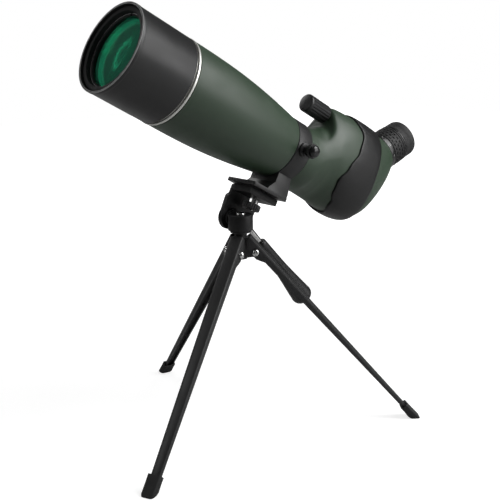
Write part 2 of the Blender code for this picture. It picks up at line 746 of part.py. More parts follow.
collar_clear = add_cutter("collar_clear", turned("collar_clear", disc_profile(
    collar_bore, collar_front - collar_width, collar_rear + collar_width), large_segments), tube_frame)
add_boolean(collar, collar_clear, "DIFFERENCE")
add_boolean(collar, screw_bore, "DIFFERENCE")
lock_bore = add_cutter("lock_bore", turned("lock_bore", disc_profile(
    lock_shank_radius + gap, collar_bore - cutter_margin, lock_boss_reach + cutter_margin),
                                           small_segments), tube_frame,
    (collar_front + collar_width / 2.0, 0.0, lock_height), turn_to_near)
add_boolean(collar, lock_bore, "DIFFERENCE")

lock_frame = add_empty("lock_frame", tube_frame,
                       (collar_front + collar_width / 2.0, 0.0, lock_height), turn_to_near)
lock_start = lock_boss_reach + gap
lock_end = lock_start + lock_knob_length
add_object("collar_lock_screw", turned("collar_lock_screw", disc_profile(
    lock_shank_radius, journal_radius + gap * 1.5, lock_end - 0.0015, 0.0004), small_segments),
    lock_frame, bright_steel, 0.3, 1.0)
add_object("collar_lock_knob", turned("collar_lock_knob", [
    (lock_end - 0.0012, 0.0), (lock_end - 0.0012, lock_shank_radius + gap),
    (lock_start, lock_shank_radius + gap), (lock_start, 0.0046), (lock_start + 0.0030, 0.0050),
    (lock_end - 0.0012, lock_knob_radius), (lock_end, lock_knob_radius - 0.0004),
    (lock_end, 0.0)], 24), lock_frame, moulded_black, 0.4)
cap_start = lock_end + gap
add_object("collar_lock_cap", turned("collar_lock_cap", [
    (cap_start, 0.0), (cap_start, lock_cap_radius), (cap_start + 0.0022, lock_cap_radius),
    (cap_start + 0.0038, lock_cap_radius - 0.0012), (cap_start + lock_cap_length, 0.0022),
    (cap_start + lock_cap_length, 0.0)], 24), lock_frame, (0.10, 0.10, 0.105), 0.35)

# ---------------------------------------------------------------- front tube
barrel_stations = [(barrel_front + (barrel_rear - barrel_front) * along,
                    barrel_front_radius + (barrel_rear_radius - barrel_front_radius) * share)
                   for along, share in barrel_shape]
cell_front = shade_front + cell_setback
cell_rear = cell_front + cell_length
nose_end = cell_rear + gap
barrel_profile = [(nose_end, nose_radius - nose_wall), (nose_end, nose_radius),
                  (barrel_stations[0][0], nose_radius)]
barrel_profile += list(barrel_stations)
barrel_profile += [(barrel_stations[-1][0], journal_radius), (journal_end, journal_radius),
                   (journal_end, journal_radius - journal_wall),
                   (barrel_stations[-1][0] - 0.0030, journal_radius - journal_wall)]
barrel_profile += [(station, radius - barrel_wall)
                   for station, radius in reversed(barrel_stations[2:-1])]
barrel_profile += [(barrel_stations[1][0], nose_radius - nose_wall)]
add_object("front_barrel", turned("front_barrel", barrel_profile, large_segments), tube_frame,
           green_paint, 0.42)
trim_front = barrel_front - gap - trim_length
add_object("trim_ring", turned("trim_ring", ring_profile(
    nose_radius + gap, shade_radius + trim_height, trim_front, trim_front + trim_length, slide_gap),
    large_segments), tube_frame, brushed_silver, 0.25, 1.0)
shade_bore = shade_radius - shade_wall
shade_rear = trim_front - gap
lip_radius = shade_radius + shade_lip_height
add_object("sunshade", turned("sunshade", [
    (shade_front, shade_bore), (shade_front, lip_radius - 2.0 * shade_lip_height),
    (shade_front + 2.0 * shade_lip_height, lip_radius), (shade_front + shade_lip, lip_radius),
    (shade_front + shade_lip + 2.0 * shade_lip_height, shade_radius), (shade_rear, shade_radius),
    (shade_rear, shade_bore)], large_segments), tube_frame, satin_black, 0.35)

seat_radius = lens_radius + gap
front_bore = lens_radius + retainer_seat
lens_front = cell_front + lens_setback
lens_aperture = lens_radius - lens_seat_width
retainer_rear = lens_front + crown_sag - retainer_overlap
lens_seat = lens_front + crown_sag + crown_edge + flint_edge + gap
add_object("objective_cell", turned("objective_cell", [
    (cell_front, front_bore), (cell_front, nose_radius - 2.0 * gap),
    (cell_front + 2.0 * gap, nose_radius), (cell_rear, nose_radius),
    (cell_rear, nose_radius - nose_wall - gap), (cell_rear + spigot_length,
    nose_radius - nose_wall - gap), (cell_rear + spigot_length, lens_aperture),
    (lens_seat, lens_aperture), (lens_seat, seat_radius),
    (retainer_rear, seat_radius), (retainer_rear, front_bore)], large_segments), tube_frame,
    satin_black, 0.5)
retainer = add_object("objective_retaining_ring", turned("objective_retaining_ring", ring_profile(
    front_bore - gap - retainer_width, front_bore - gap, retainer_rear - gap - retainer_length,
    retainer_rear - gap), large_segments), tube_frame, satin_black, 0.4)
retainer_front = retainer_rear - gap - retainer_length
slot = add_cutter("retainer_slots", extruded("retainer_slots", [
    (-retainer_slot, -nose_radius), (retainer_slot, -nose_radius),
    (retainer_slot, nose_radius), (-retainer_slot, nose_radius)],
    retainer_front - retainer_slot, retainer_front + retainer_slot, axis="X"), tube_frame)
add_boolean(retainer, slot, "DIFFERENCE")
crown_front_edge = lens_front + crown_sag
crown_rear_edge = crown_front_edge + crown_edge
crown_rear = crown_rear_edge + crown_sag
add_object("crown_lens", turned("crown_lens", lens_profile(
    lens_radius, lens_front, crown_front_edge, crown_rear_edge, crown_rear), large_segments),
    tube_frame, coated_glass, 0.03, 0.0, glass_transmission)
flint_rear_edge = crown_rear_edge + flint_edge
add_object("flint_lens", turned("flint_lens", lens_profile(
    lens_radius, crown_rear + gap, crown_rear_edge + gap, flint_rear_edge,
    flint_rear_edge - flint_rear_sag), large_segments), tube_frame,
    clear_glass, 0.03, 0.0, glass_transmission)
bore_front = nose_radius - nose_wall
bore_rear = barrel_stations[2][1] - barrel_wall
bore_run = barrel_stations[2][0] - barrel_stations[1][0]
bore_share = (baffle_station - barrel_stations[1][0]) / bore_run
baffle_radius = bore_front + (bore_rear - bore_front) * bore_share - gap
add_object("tube_baffle", turned("tube_baffle", [
    (baffle_station, baffle_aperture), (baffle_station, baffle_radius),
    (baffle_station + baffle_length, baffle_radius),
    (baffle_station + baffle_length, baffle_radius - baffle_lip),
    (baffle_station + baffle_thickness, baffle_radius - baffle_lip),
    (baffle_station + baffle_thickness, baffle_aperture)], large_segments), tube_frame,
    satin_black, 0.8)

# ---------------------------------------------------------------- prism housing
along_x = cos(eyepiece_angle)
along_z = sin(eyepiece_angle)
port_x = eyepiece_x + port_station * along_x
port_z = eyepiece_z + port_station * along_z
port_top = (port_x - port_radius * along_z, port_z + port_radius * along_x)
port_bottom = (port_x + port_radius * along_z, port_z - port_radius * along_x)
roof = port_top[1]
knob_height = roof - knob_drop
# each row: top point, bottom point, half width, squareness
housing_rows = (
    ((housing_front, 0.0334), (housing_front, -0.0334), 0.0334, 2.00),
    ((0.0900, 0.0337), (0.0900, -0.0340), 0.0335, 2.03),
    ((0.0975, 0.0352), (0.0970, -0.0344), 0.0336, 2.03),
    ((0.1040, 0.0400), (0.1030, -0.0347), 0.0338, 2.00),
    ((knob_rear + gap, 0.0450), (0.1085, -0.0350), 0.0340, 1.90),
    ((knob_rear + 6.0 * gap, 0.0640), (0.1140, -0.0353), 0.0342, 1.50),
    ((0.1172, roof - 0.0010), (0.1205, -0.0357), 0.0344, 1.55),
    ((0.1270, roof + 0.0002), (0.1310, -0.0362), 0.0346, 1.80),
    ((0.1420, roof + 0.0003), (0.1460, -0.0370), 0.0348, 2.15),
    ((0.1600, roof + 0.0003), (0.1650, -0.0376), 0.0348, 2.30),
    ((0.1745, roof + 0.0002), (0.1840, -0.0354), 0.0343, 2.25),
    ((0.1820, roof), (0.1990, -0.0258), 0.0330, 2.20),
    ((0.1865, roof), (0.2102, -0.0074), 0.0308, 2.15),
    ((0.1892, roof), (0.2186, 0.0126), 0.0280, 2.08),
    ((0.1906, roof), (0.2234, 0.0280), 0.0250, 2.03),
    (port_top, port_bottom, port_radius, 2.00),
)
housing_samples = 36
fine_from = 7                 # rows before this one are close together already
fine_to = 11


def blended(before, first, second, after, share):
    """Smooth run between two values, with the values on either side of them."""
    slope_first = (second - before) / 2.0
    slope_second = (after - first) / 2.0
    cube = share ** 3
    square = share ** 2
    return ((2.0 * cube - 3.0 * square + 1.0) * first + (cube - 2.0 * square + share) * slope_first
            + (3.0 * square - 2.0 * cube) * second + (cube - square) * slope_second)


def housing_section(row):
    """Size of the housing at a fractional row number."""
    last = len(housing_rows) - 1
    row = min(max(row, 0.0), float(last))
    low = min(int(row), last - 1)
    around = [housing_rows[min(max(low + step, 0), last)] for step in (-1, 0, 1, 2)]
    flat = [(*entry[0], *entry[1], entry[2], entry[3]) for entry in around]
    values = [blended(*column, row - low) for column in zip(*flat)]
    return values[0:2], values[2:4], values[4], values[5]


def section_point(section, turn, grow=0.0):
    """Point of a section at an angle from its top, grown outwards."""
    top, bottom, half_width, square = section
    middle_x = (top[0] + bottom[0]) / 2.0
    middle_z = (top[1] + bottom[1]) / 2.0
    up_x = (top[0] - bottom[0]) / 2.0
    up_z = (top[1] - bottom[1]) / 2.0
    half_height = sqrt(up_x ** 2 + up_z ** 2)
    scale = (half_height + grow) / half_height
    upward = abs(cos(turn)) ** (2.0 / square) * (1.0 if cos(turn) >= 0.0 else -1.0)
    sideways = abs(sin(turn)) ** (2.0 / square) * (1.0 if sin(turn) >= 0.0 else -1.0)
    return (middle_x + up_x * scale * upward, (half_width + grow) * sideways,
            middle_z + up_z * scale * upward)


def inward(outline, distance, side):
    """Outline moved sideways by a distance, square to its own run."""
    moved = []
    for index, point in enumerate(outline):
        before = outline[max(index - 1, 0)]
        after = outline[min(index + 1, len(outline) - 1)]
        run = Vector((after[0] - before[0], after[1] - before[1])).normalized()
        if index == 0:
            run = Vector((1.0, 0.0))
        if index == len(outline) - 1:
            run = Vector((along_x, along_z))
        moved.append((point[0] + side * run.y * distance, point[1] - side * run.x * distance))
    return moved


housing_turns = [2.0 * pi * step / housing_samples for step in range(housing_samples)]
outer_rows = []
for index in range(len(housing_rows) - 1):
    parts = 3 if fine_from <= index < fine_to else 1
    outer_rows += [index + step / parts for step in range(parts)]
outer_rows.append(len(housing_rows) - 1)
outer_rings = [[section_point(housing_section(row), turn) for turn in housing_turns]
               for row in outer_rows]
inner_tops = inward([row[0] for row in housing_rows], housing_wall, 1.0)
inner_bottoms = inward([row[1] for row in housing_rows], housing_wall, -1.0)
inner_rings = []
for index in range(len(housing_rows) - 1, -1, -1):
    section = (inner_tops[index], inner_bottoms[index], housing_rows[index][2] - housing_wall,
               housing_rows[index][3])
    inner_rings.append([section_point(section, turn) for turn in housing_turns])
housing = add_object("prism_housing", lofted("prism_housing", outer_rings + inner_rings,
                                             ring_loop=True), tube_frame, green_paint, 0.42)
bush_bore = add_cutter("bush_bore", turned("bush_bore", disc_profile(
    bush_radius + gap, knob_rear - cutter_margin, bush_end + cutter_margin), 24), tube_frame,
    (0.0, 0.0, knob_height))
add_boolean(housing, bush_bore, "DIFFERENCE")

# row numbers of the armour's two edges at angles from the top of the section
armour_edges = ((0.0, 7.85, 10.75), (25.0, 8.05, 10.70), (50.0, 8.40, 10.60),
                (75.0, 8.20, 10.45), (95.0, 7.70, 10.35), (115.0, 7.25, 10.30),
                (130.0, 7.45, 10.28), (145.0, 7.95, 10.22), (180.0, 8.55, 10.15))


def armour_edge(turn, column):
    """Row number of the armour's front (1) or rear (2) edge at an angle."""
    degrees = abs((turn * 180.0 / pi + 180.0) % 360.0 - 180.0)
    for first, second in zip(armour_edges, armour_edges[1:]):
        if degrees <= second[0]:
            share = (degrees - first[0]) / (second[0] - first[0])
            share = share * share * (3.0 - 2.0 * share)
            return first[column] + (second[column] - first[column]) * share
    return armour_edges[-1][column]


armour_steps = 6
armour_rings = []
for step in range(armour_steps + 1):
    share = step / armour_steps
    armour_rings.append([section_point(housing_section(
        armour_edge(turn, 1) * (1.0 - share) + armour_edge(turn, 2) * share), turn,
        armour_gap + armour_thickness) for turn in housing_turns])
for step in range(armour_steps, -1, -1):
    share = step / armour_steps
    armour_rings.append([section_point(housing_section(
        armour_edge(turn, 1) * (1.0 - share) + armour_edge(turn, 2) * share), turn,
        armour_gap) for turn in housing_turns])
add_object("rubber_armour", lofted("rubber_armour", armour_rings, ring_loop=True), tube_frame,
           soft_rubber, 0.7)

# ---------------------------------------------------------------- focusing drive
focus_frame = add_empty("focus_frame", tube_frame, (0.0, 0.0, knob_height))
screw_start = knob_front + 0.3 * (knob_rear - knob_front)
add_object("focus_knob", turned("focus_knob", [
    (screw_start, 0.0), (screw_start, focus_screw_radius + gap),
    (knob_rear, focus_screw_radius + gap), (knob_rear, knob_radius - 0.0012),
    (knob_rear - 0.0010, knob_radius), (knob_front + 0.0016, knob_radius),
    (knob_front + 0.0004, knob_radius - 0.0010), (knob_front, knob_radius - 0.0014),
    (knob_front, 0.0)], medium_segments, ribs=knob_ribs, rib_depth=0.0007, ribbed=(4, 5)),
    focus_frame, satin_black, 0.4)
add_object("focus_screw", turned("focus_screw", disc_profile(
    focus_screw_radius, screw_start + gap, focus_screw_end, 0.0004), small_segments),
    focus_frame, bright_steel, 0.3, 1.0)
add_object("focus_bush", turned("focus_bush", ring_profile(
    focus_screw_radius + gap, bush_radius, knob_rear + 2.0 * gap, bush_end), 24), focus_frame,
    brass, 0.35, 1.0)
carriage_rear = carriage_station + carriage_length
carriage = add_object("focus_carriage", turned("focus_carriage", ring_profile(
    focus_lens_radius + gap, focus_lens_radius + carriage_rim, carriage_station, carriage_rear),
    medium_segments), tube_frame, satin_black, 0.5)
arm_low = focus_lens_radius + arm_overlap
arm_high = knob_height - arm_overlap
arm = add_cutter("carriage_arm", extruded("carriage_arm", [
    (carriage_station + carriage_edge, arm_low), (carriage_rear - carriage_edge, arm_low),
    (carriage_rear - carriage_edge, arm_high), (carriage_station + carriage_edge, arm_high)],
    -arm_half_width, arm_half_width), tube_frame)
nut = add_cutter("carriage_nut", turned("carriage_nut", disc_profile(
    nut_radius, carriage_station - nut_overhang, carriage_rear + nut_overhang), 20),
    tube_frame, (0.0, 0.0, knob_height))
nut_bore = add_cutter("nut_bore", turned("nut_bore", disc_profile(
    focus_screw_radius + gap, carriage_station - cutter_margin, carriage_rear + cutter_margin), 16),
    tube_frame, (0.0, 0.0, knob_height))
add_boolean(carriage, arm, "UNION")
add_boolean(carriage, nut, "UNION")
add_boolean(carriage, nut_bore, "DIFFERENCE")
add_object("focus_lens", turned("focus_lens", lens_profile(
    focus_lens_radius, *[carriage_station + face for face in focus_lens_faces]),
    medium_segments), tube_frame,
    clear_glass, 0.03, 0.0, glass_transmission)

# ---------------------------------------------------------------- prisms
add_object("turning_prism", extruded("turning_prism", [
    (prism_front + behind, height) for behind, height in turning_prism_shape],
    -prism_half_width, prism_half_width, smooth=False), tube_frame, clear_glass, 0.02,
    0.0, glass_transmission)
exit_x = eyepiece_x - prism_exit_distance * along_x
exit_z = eyepiece_z - prism_exit_distance * along_z
roof_prism_outline = [(exit_x - prism_exit_half * along_z, exit_z + prism_exit_half * along_x),
                      (exit_x + prism_exit_half * along_z, exit_z - prism_exit_half * along_x)]
roof_prism_outline += [(prism_front + behind, height) for behind, height in roof_prism_shape]
add_object("roof_prism", extruded("roof_prism", roof_prism_outline,
    -prism_half_width, prism_half_width, smooth=False), tube_frame, clear_glass, 0.02,
    0.0, glass_transmission)
cage_side = prism_half_width + gap
cage_outer = cage_side + cage_wall
cage_floor = cage_bottom + cage_floor_thickness
cage_foot = inner_bottoms[8][1] + 4.0 * gap
cage_front = prism_front + cage_setback
add_object("prism_cage", extruded("prism_cage", [
    (-cage_outer, cage_bottom), (-cage_web_half_width, cage_bottom), (-cage_web_half_width, cage_foot),
    (cage_web_half_width, cage_foot), (cage_web_half_width, cage_bottom), (cage_outer, cage_bottom),
    (cage_outer, cage_top), (cage_side, cage_top), (cage_side, cage_floor), (-cage_side, cage_floor),
    (-cage_side, cage_top), (-cage_outer, cage_top)], cage_front, cage_front + cage_length, axis="X",
    smooth=False), tube_frame, (0.30, 0.30, 0.31), 0.4, 1.0)

# ---------------------------------------------------------------- eyepiece
eye_frame = add_empty("eye_frame", tube_frame, (eyepiece_x, 0.0, eyepiece_z),
                      (0.0, -eyepiece_angle, 0.0))
number_start = port_station + gap
port_bore = port_radius - housing_wall
add_object("eyepiece_base", turned("eyepiece_base", [
    (port_station - base_spigot, sleeve_radius + gap), (port_station - base_spigot, port_bore - gap),
    (number_start, port_bore - gap), (number_start, number_ring_radius - 0.0004),
    (number_start + 0.0006, number_ring_radius), (-gap - 0.0006, number_ring_radius - 0.0004),
    (-gap, number_ring_radius - 0.0008), (-gap, sleeve_radius + gap)], medium_segments),
    eye_frame, satin_black, 0.25)
add_object("zoom_ring", turned("zoom_ring", ring_profile(
    sleeve_radius + gap, zoom_ring_radius, 0.0, zoom_ring_length, 0.0006), medium_segments,
    ribs=14, rib_depth=0.0006, ribbed=(2, 3)), eye_frame, satin_black, 0.55)
eye_trim_start = zoom_ring_length + gap
add_object("eyepiece_trim_ring", turned("eyepiece_trim_ring", ring_profile(
    sleeve_radius + gap, eyepiece_trim_radius, eye_trim_start,
    eye_trim_start + eyepiece_trim_length), medium_segments), eye_frame, brushed_silver, 0.25, 1.0)
eyecup_start = eye_trim_start + eyepiece_trim_length + gap
add_object("eyecup", turned("eyecup", [
    (eyecup_start, sleeve_radius + slide_gap), (eyecup_start, eyecup_radius - 0.0004),
    (eyecup_start + 0.0006, eyecup_radius), (eyecup_end - 0.0030, eyecup_radius - 0.0002),
    (eyecup_end - 0.0008, eyecup_radius - 0.0012), (eyecup_end, eyecup_radius - 0.0026),
    (eyecup_end - 0.0006, eyecup_radius - 0.0042), (sleeve_end + 0.0020, eyecup_opening),
    (sleeve_end + 0.0006, eyecup_opening), (sleeve_end + 0.0006, sleeve_radius + slide_gap)],
    medium_segments), eye_frame, soft_rubber, 0.75)
sleeve_bore = sleeve_radius - sleeve_wall
add_object("eyepiece_sleeve", turned("eyepiece_sleeve", [
    (sleeve_start, sleeve_bore), (sleeve_start, sleeve_radius), (sleeve_end, sleeve_radius),
    (sleeve_end, sleeve_opening), (sleeve_end - 4.0 * gap, sleeve_opening),
    (sleeve_end - 4.0 * gap, sleeve_bore)],
    medium_segments), eye_frame, satin_black, 0.5)
optic_radius = sleeve_bore - gap
add_object("field_lens", turned("field_lens", lens_profile(
    optic_radius, *field_lens_faces), medium_segments), eye_frame,
    clear_glass, 0.03, 0.0, glass_transmission)
add_object("zoom_lens_cell", turned("zoom_lens_cell", ring_profile(
    zoom_lens_radius + gap, sleeve_bore - slide_gap, zoom_cell_start,
    zoom_cell_start + zoom_cell_length), medium_segments), eye_frame,
    satin_black, 0.5)
add_object("zoom_lens", turned("zoom_lens", lens_profile(
    zoom_lens_radius, *[zoom_cell_start + face for face in zoom_lens_faces]),
    medium_segments), eye_frame, clear_glass, 0.03, 0.0, glass_transmission)
add_object("eye_lens", turned("eye_lens", lens_profile(
    optic_radius, *[sleeve_end + face for face in eye_lens_faces]), medium_segments),
    eye_frame, clear_glass, 0.03, 0.0, glass_transmission)

# ---------------------------------------------------------------- centre on the ground
bpy.context.view_layer.update()
depsgraph = bpy.context.evaluated_depsgraph_get()
lows = [1.0e9, 1.0e9, 1.0e9]
highs = [-1.0e9, -1.0e9, -1.0e9]
for piece in bpy.context.scene.objects:
    if piece.type != "MESH" or piece.hide_render:
        continue
    built = piece.evaluated_get(depsgraph)
    for vertex in built.data.vertices:
        place = built.matrix_world @ vertex.co
        for axis in range(3):
            lows[axis] = min(lows[axis], place[axis])
            highs[axis] = max(highs[axis], place[axis])
root.location = (-(lows[0] + highs[0]) / 2.0, -(lows[1] + highs[1]) / 2.0, -lows[2])
bpy.context.view_layer.update()
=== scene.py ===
import json
from math import cos, pi, radians, sin, sqrt

import bmesh
import bpy
from mathutils import Matrix, Vector


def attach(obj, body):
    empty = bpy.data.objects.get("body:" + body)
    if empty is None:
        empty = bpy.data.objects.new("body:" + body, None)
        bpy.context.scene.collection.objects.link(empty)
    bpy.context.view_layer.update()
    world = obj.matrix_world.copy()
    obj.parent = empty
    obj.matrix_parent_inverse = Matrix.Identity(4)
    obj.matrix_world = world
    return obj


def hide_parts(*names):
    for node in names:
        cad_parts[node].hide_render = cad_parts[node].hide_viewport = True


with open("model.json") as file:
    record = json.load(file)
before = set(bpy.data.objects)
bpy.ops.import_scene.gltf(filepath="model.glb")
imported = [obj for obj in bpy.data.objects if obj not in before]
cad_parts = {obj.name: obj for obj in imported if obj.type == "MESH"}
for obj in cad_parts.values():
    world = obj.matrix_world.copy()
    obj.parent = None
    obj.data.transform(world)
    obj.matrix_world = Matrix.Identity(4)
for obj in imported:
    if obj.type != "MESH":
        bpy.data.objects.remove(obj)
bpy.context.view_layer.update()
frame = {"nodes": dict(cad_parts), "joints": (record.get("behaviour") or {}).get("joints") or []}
joints = {joint["name"]: joint for joint in frame["joints"]}
print("frame loaded")

smallest = 1e-6        # lengths below this count as none, in metres
gap = 0.0003           # clearance between pieces that fit together
collarCentre = 0.0708  # station of the roll joint along the tube


# a frame whose X runs along an axis and whose Y is nearest to a sideways direction
def axisFrame(origin, axis, side=(0.0, 1.0, 0.0)):
    along = Vector(axis).normalized()
    across = Vector(side)
    across = (across - along * across.dot(along)).normalized()
    upward = along.cross(across)
    turn = Matrix((along, across, upward)).transposed().to_4x4()
    return Matrix.Translation(Vector(origin)) @ turn


def jointFrame(name, side=(0.0, 1.0, 0.0)):
    return axisFrame(joints[name]["pos_m"], joints[name]["axis"], side)


# the CAD's joints give every local frame; stations run along local X, in metres
tubeAxis = Vector(joints["scope_roll"]["axis"])
tubeOrigin = Vector(joints["scope_roll"]["pos_m"]) - tubeAxis * collarCentre
tubePlace = axisFrame(tubeOrigin, tubeAxis)
eyePlace = jointFrame("zoom_ring_turn")
knobPlace = jointFrame("focus_knob_turn")
lockPlace = jointFrame("collar_lock_turn", tubeAxis)
handlePlace = jointFrame("handle_twist")
wheelPlace = jointFrame("thumbwheel_turn")
tiltOrigin = Vector(joints["tilt"]["pos_m"])
panFoot = Vector((joints["pan"]["pos_m"][0], joints["pan"]["pos_m"][1], 0.0))   # on the floor


# rounds the corners of a closed outline with short arcs, but not those on the axis
def filleted(outline, radius, steps=3):
    flatCorner = radians(168.0)
    longest = 0.45        # share of a side that an arc may take
    rounded = []
    for index, point in enumerate(outline):
        here = Vector(point)
        before = Vector(outline[index - 1]) - here
        after = Vector(outline[(index + 1) % len(outline)]) - here
        reach = min(radius, before.length * longest, after.length * longest)
        if reach < smallest or abs(here.y) < smallest or before.angle(after) > flatCorner:
            rounded.append((here.x, here.y))
            continue
        first = here + before.normalized() * reach
        last = here + after.normalized() * reach
        for step in range(steps + 1):
            share = step / steps
            place = first * (1 - share) ** 2 + here * 2 * share * (1 - share) + last * share ** 2
            rounded.append((place.x, place.y))
    return rounded


# outline of a plain ring
def bandOutline(front, rear, inner, outer):
    return [(front, inner), (front, outer), (rear, outer), (rear, inner)]


# smooth step between the middle two of four values or vectors
def blended(before, first, second, after, share):
    slopeFirst = (second - before) / 2.0
    slopeSecond = (after - first) / 2.0
    cube, square = share ** 3, share ** 2
    return ((2 * cube - 3 * square + 1) * first + (cube - 2 * square + share) * slopeFirst
            + (3 * square - 2 * cube) * second + (cube - square) * slopeSecond)


# smooth run through a few (station, radius) pairs
def curveThrough(points, parts=8):
    last = len(points) - 1
    run = []
    for index in range(last):
        around = [Vector(points[min(max(index + step, 0), last)]) for step in (-1, 0, 1, 2)]
        run += [tuple(blended(*around, part / parts)) for part in range(parts)]
    return run + [tuple(points[-1])]


def eased(share):
    return share * share * (3.0 - 2.0 * share)


def finishMesh(name, shape, sharpAngle=32.0):
    bmesh.ops.recalc_face_normals(shape, faces=shape.faces)
    mesh = bpy.data.meshes.new(name)
    shape.to_mesh(mesh)
    shape.free()
    mesh.shade_smooth()
    mesh.set_sharp_from_angle(angle=radians(sharpAngle))
    return mesh


# turns a closed outline of (station, radius) about X; shaped may move a point in or out
def turnedMesh(name, outline, segments=128, shaped=None, sharpAngle=32.0):
    shape = bmesh.new()
    rings = []
    for station, radius in outline:
        if radius < smallest:
            centre = shape.verts.new((station, 0.0, 0.0))
            rings.append([centre] * segments)
            continue
        ring = []
        for step in range(segments):
            turn = 2.0 * pi * step / segments
            here = radius + (shaped(turn, station, radius) if shaped else 0.0)
            ring.append(shape.verts.new((station, here * sin(turn), here * cos(turn))))
        rings.append(ring)
    for index, ring in enumerate(rings):
        following = rings[(index + 1) % len(rings)]
        if ring[0] is ring[1] and following[0] is following[1]:
            continue
        for step in range(segments):
            after = (step + 1) % segments
            corners = []
            for corner in (ring[step], ring[after], following[after], following[step]):
                if corner not in corners:
                    corners.append(corner)
            shape.faces.new(corners)
    return finishMesh(name, shape, sharpAngle)


# joins closed rings of points, and the last ring to the first
def loftMesh(name, rings, sharpAngle):
    shape = bmesh.new()
    rows = [[shape.verts.new(point) for point in ring] for ring in rings]
    for row, upper in enumerate(rows):
        lower = rows[(row + 1) % len(rows)]
        for step in range(len(upper)):
            after = (step + 1) % len(upper)
            shape.faces.new((upper[step], upper[after], lower[after], lower[step]))
    return finishMesh(name, shape, sharpAngle)


# a small box in local coordinates, added to a shape that is being built
def addBlock(shape, centre, size, turn=None):
    made = bmesh.ops.create_cube(shape, size=1.0)
    move = Matrix.Translation(Vector(centre)) @ (turn or Matrix.Identity(4))
    scale = Matrix.Diagonal((*size, 1.0))
    bmesh.ops.transform(shape, matrix=move @ scale, verts=made["verts"])
    return made["verts"]


def blockMesh(name, centre, size):
    shape = bmesh.new()
    addBlock(shape, centre, size)
    return finishMesh(name, shape)


def addObject(name, data):
    made = bpy.data.objects.new(name, data)
    bpy.context.scene.collection.objects.link(made)
    return made


def placePiece(name, mesh, place, body, look, nodes=()):
    piece = addObject(name, mesh)
    piece.matrix_world = place
    mesh.materials.append(materials[look])
    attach(piece, body)
    if nodes:
        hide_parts(*nodes)


def turnedPiece(name, outline, place, body, look, slotName, nodes=(), **shaping):
    placePiece(name, turnedMesh(name, outline, **shaping), place, body, look, nodes)


# cuts other meshes out of one and returns the result, all in the same local frame
def cutMesh(name, mesh, cutters, sharpAngle=32.0):
    base = addObject(name + "Base", mesh)
    tools = []
    for index, cutter in enumerate(cutters):
        tool = addObject(name + "Tool" + str(index), cutter)
        cut = base.modifiers.new("cut" + str(index), "BOOLEAN")
        cut.operation = "DIFFERENCE"
        cut.solver = "EXACT"
        cut.object = tool
        tools.append(tool)
    bpy.context.view_layer.update()
    built = base.evaluated_get(bpy.context.evaluated_depsgraph_get())
    result = bpy.data.meshes.new_from_object(built)
    result.name = name
    for leftover in [base] + tools:
        bpy.data.objects.remove(leftover)
    result.shade_smooth()
    result.set_sharp_from_angle(angle=radians(sharpAngle))
    return result


softening = {"weld": 2e-6, "flatAngle": 0.5, "bevelAngle": 24.0, "segments": 2, "profile": 0.6,
             "sharpAngle": 40.0}


# a copy of a CAD node with its sharp edges rounded, in the frame of the whole part
def softenedNode(node, width):
    shape = bmesh.new()
    shape.from_mesh(frame["nodes"][node].data)
    bmesh.ops.remove_doubles(shape, verts=shape.verts, dist=softening["weld"])
    bmesh.ops.dissolve_limit(shape, angle_limit=radians(softening["flatAngle"]),
                             verts=shape.verts, edges=shape.edges)
    shape.normal_update()
    least = radians(softening["bevelAngle"])
    sharp = [edge for edge in shape.edges
             if len(edge.link_faces) == 2 and edge.calc_face_angle(0.0) > least]
    bmesh.ops.bevel(shape, geom=sharp, offset=width, segments=softening["segments"],
                    profile=softening["profile"], affect="EDGES", clamp_overlap=True)
    return finishMesh(node + "Soft", shape, softening["sharpAngle"])


# a group with a Vector input, number inputs and number outputs
def newGroup(name, values, outputs):
    group = bpy.data.node_groups.new(name, "ShaderNodeTree")
    group.interface.new_socket(name="Vector", in_out="INPUT", socket_type="NodeSocketVector")
    for label, value in values.items():
        socket = group.interface.new_socket(name=label, in_out="INPUT", socket_type="NodeSocketFloat")
        socket.default_value = value
    for label in outputs:
        group.interface.new_socket(name=label, in_out="OUTPUT", socket_type="NodeSocketFloat")
    entry = addNode(group, "NodeGroupInput", -800, 0)
    leave = addNode(group, "NodeGroupOutput", 600, 0)
    return group, entry, leave


def addNode(tree, kind, x, y, **settings):
    node = tree.nodes.new(kind)
    node.location = (x, y)
    for label, value in settings.items():
        setattr(node, label, value)
    return node


def setInputs(node, values):
    for label, value in values.items():
        node.inputs[label].default_value = value


def linkAll(tree, *pairs):
    for source, target in pairs:
        tree.links.new(source, target)


def mathNode(tree, operation, x, y, *sources):
    node = addNode(tree, "ShaderNodeMath", x, y, operation=operation)
    for socket, source in zip(node.inputs, sources):
        if isinstance(source, (int, float)):
            socket.default_value = source
        else:
            tree.links.new(source, socket)
    return node.outputs[0]


# limits are the low and high values that come in, then the low and high values that go out
def rangeNode(tree, x, y, source, limits, kind="SMOOTHSTEP"):
    node = addNode(tree, "ShaderNodeMapRange", x, y, interpolation_type=kind)
    setInputs(node, dict(zip(("From Min", "From Max", "To Min", "To Max"), limits)))
    tree.links.new(source, node.inputs["Value"])
    return node.outputs[0]


def noiseNode(tree, x, y, vector, scale, values):
    node = addNode(tree, "ShaderNodeTexNoise", x, y)
    setInputs(node, values)
    linkAll(tree, (vector, node.inputs["Vector"]), (scale, node.inputs["Scale"]))
    return node.outputs["Fac"]


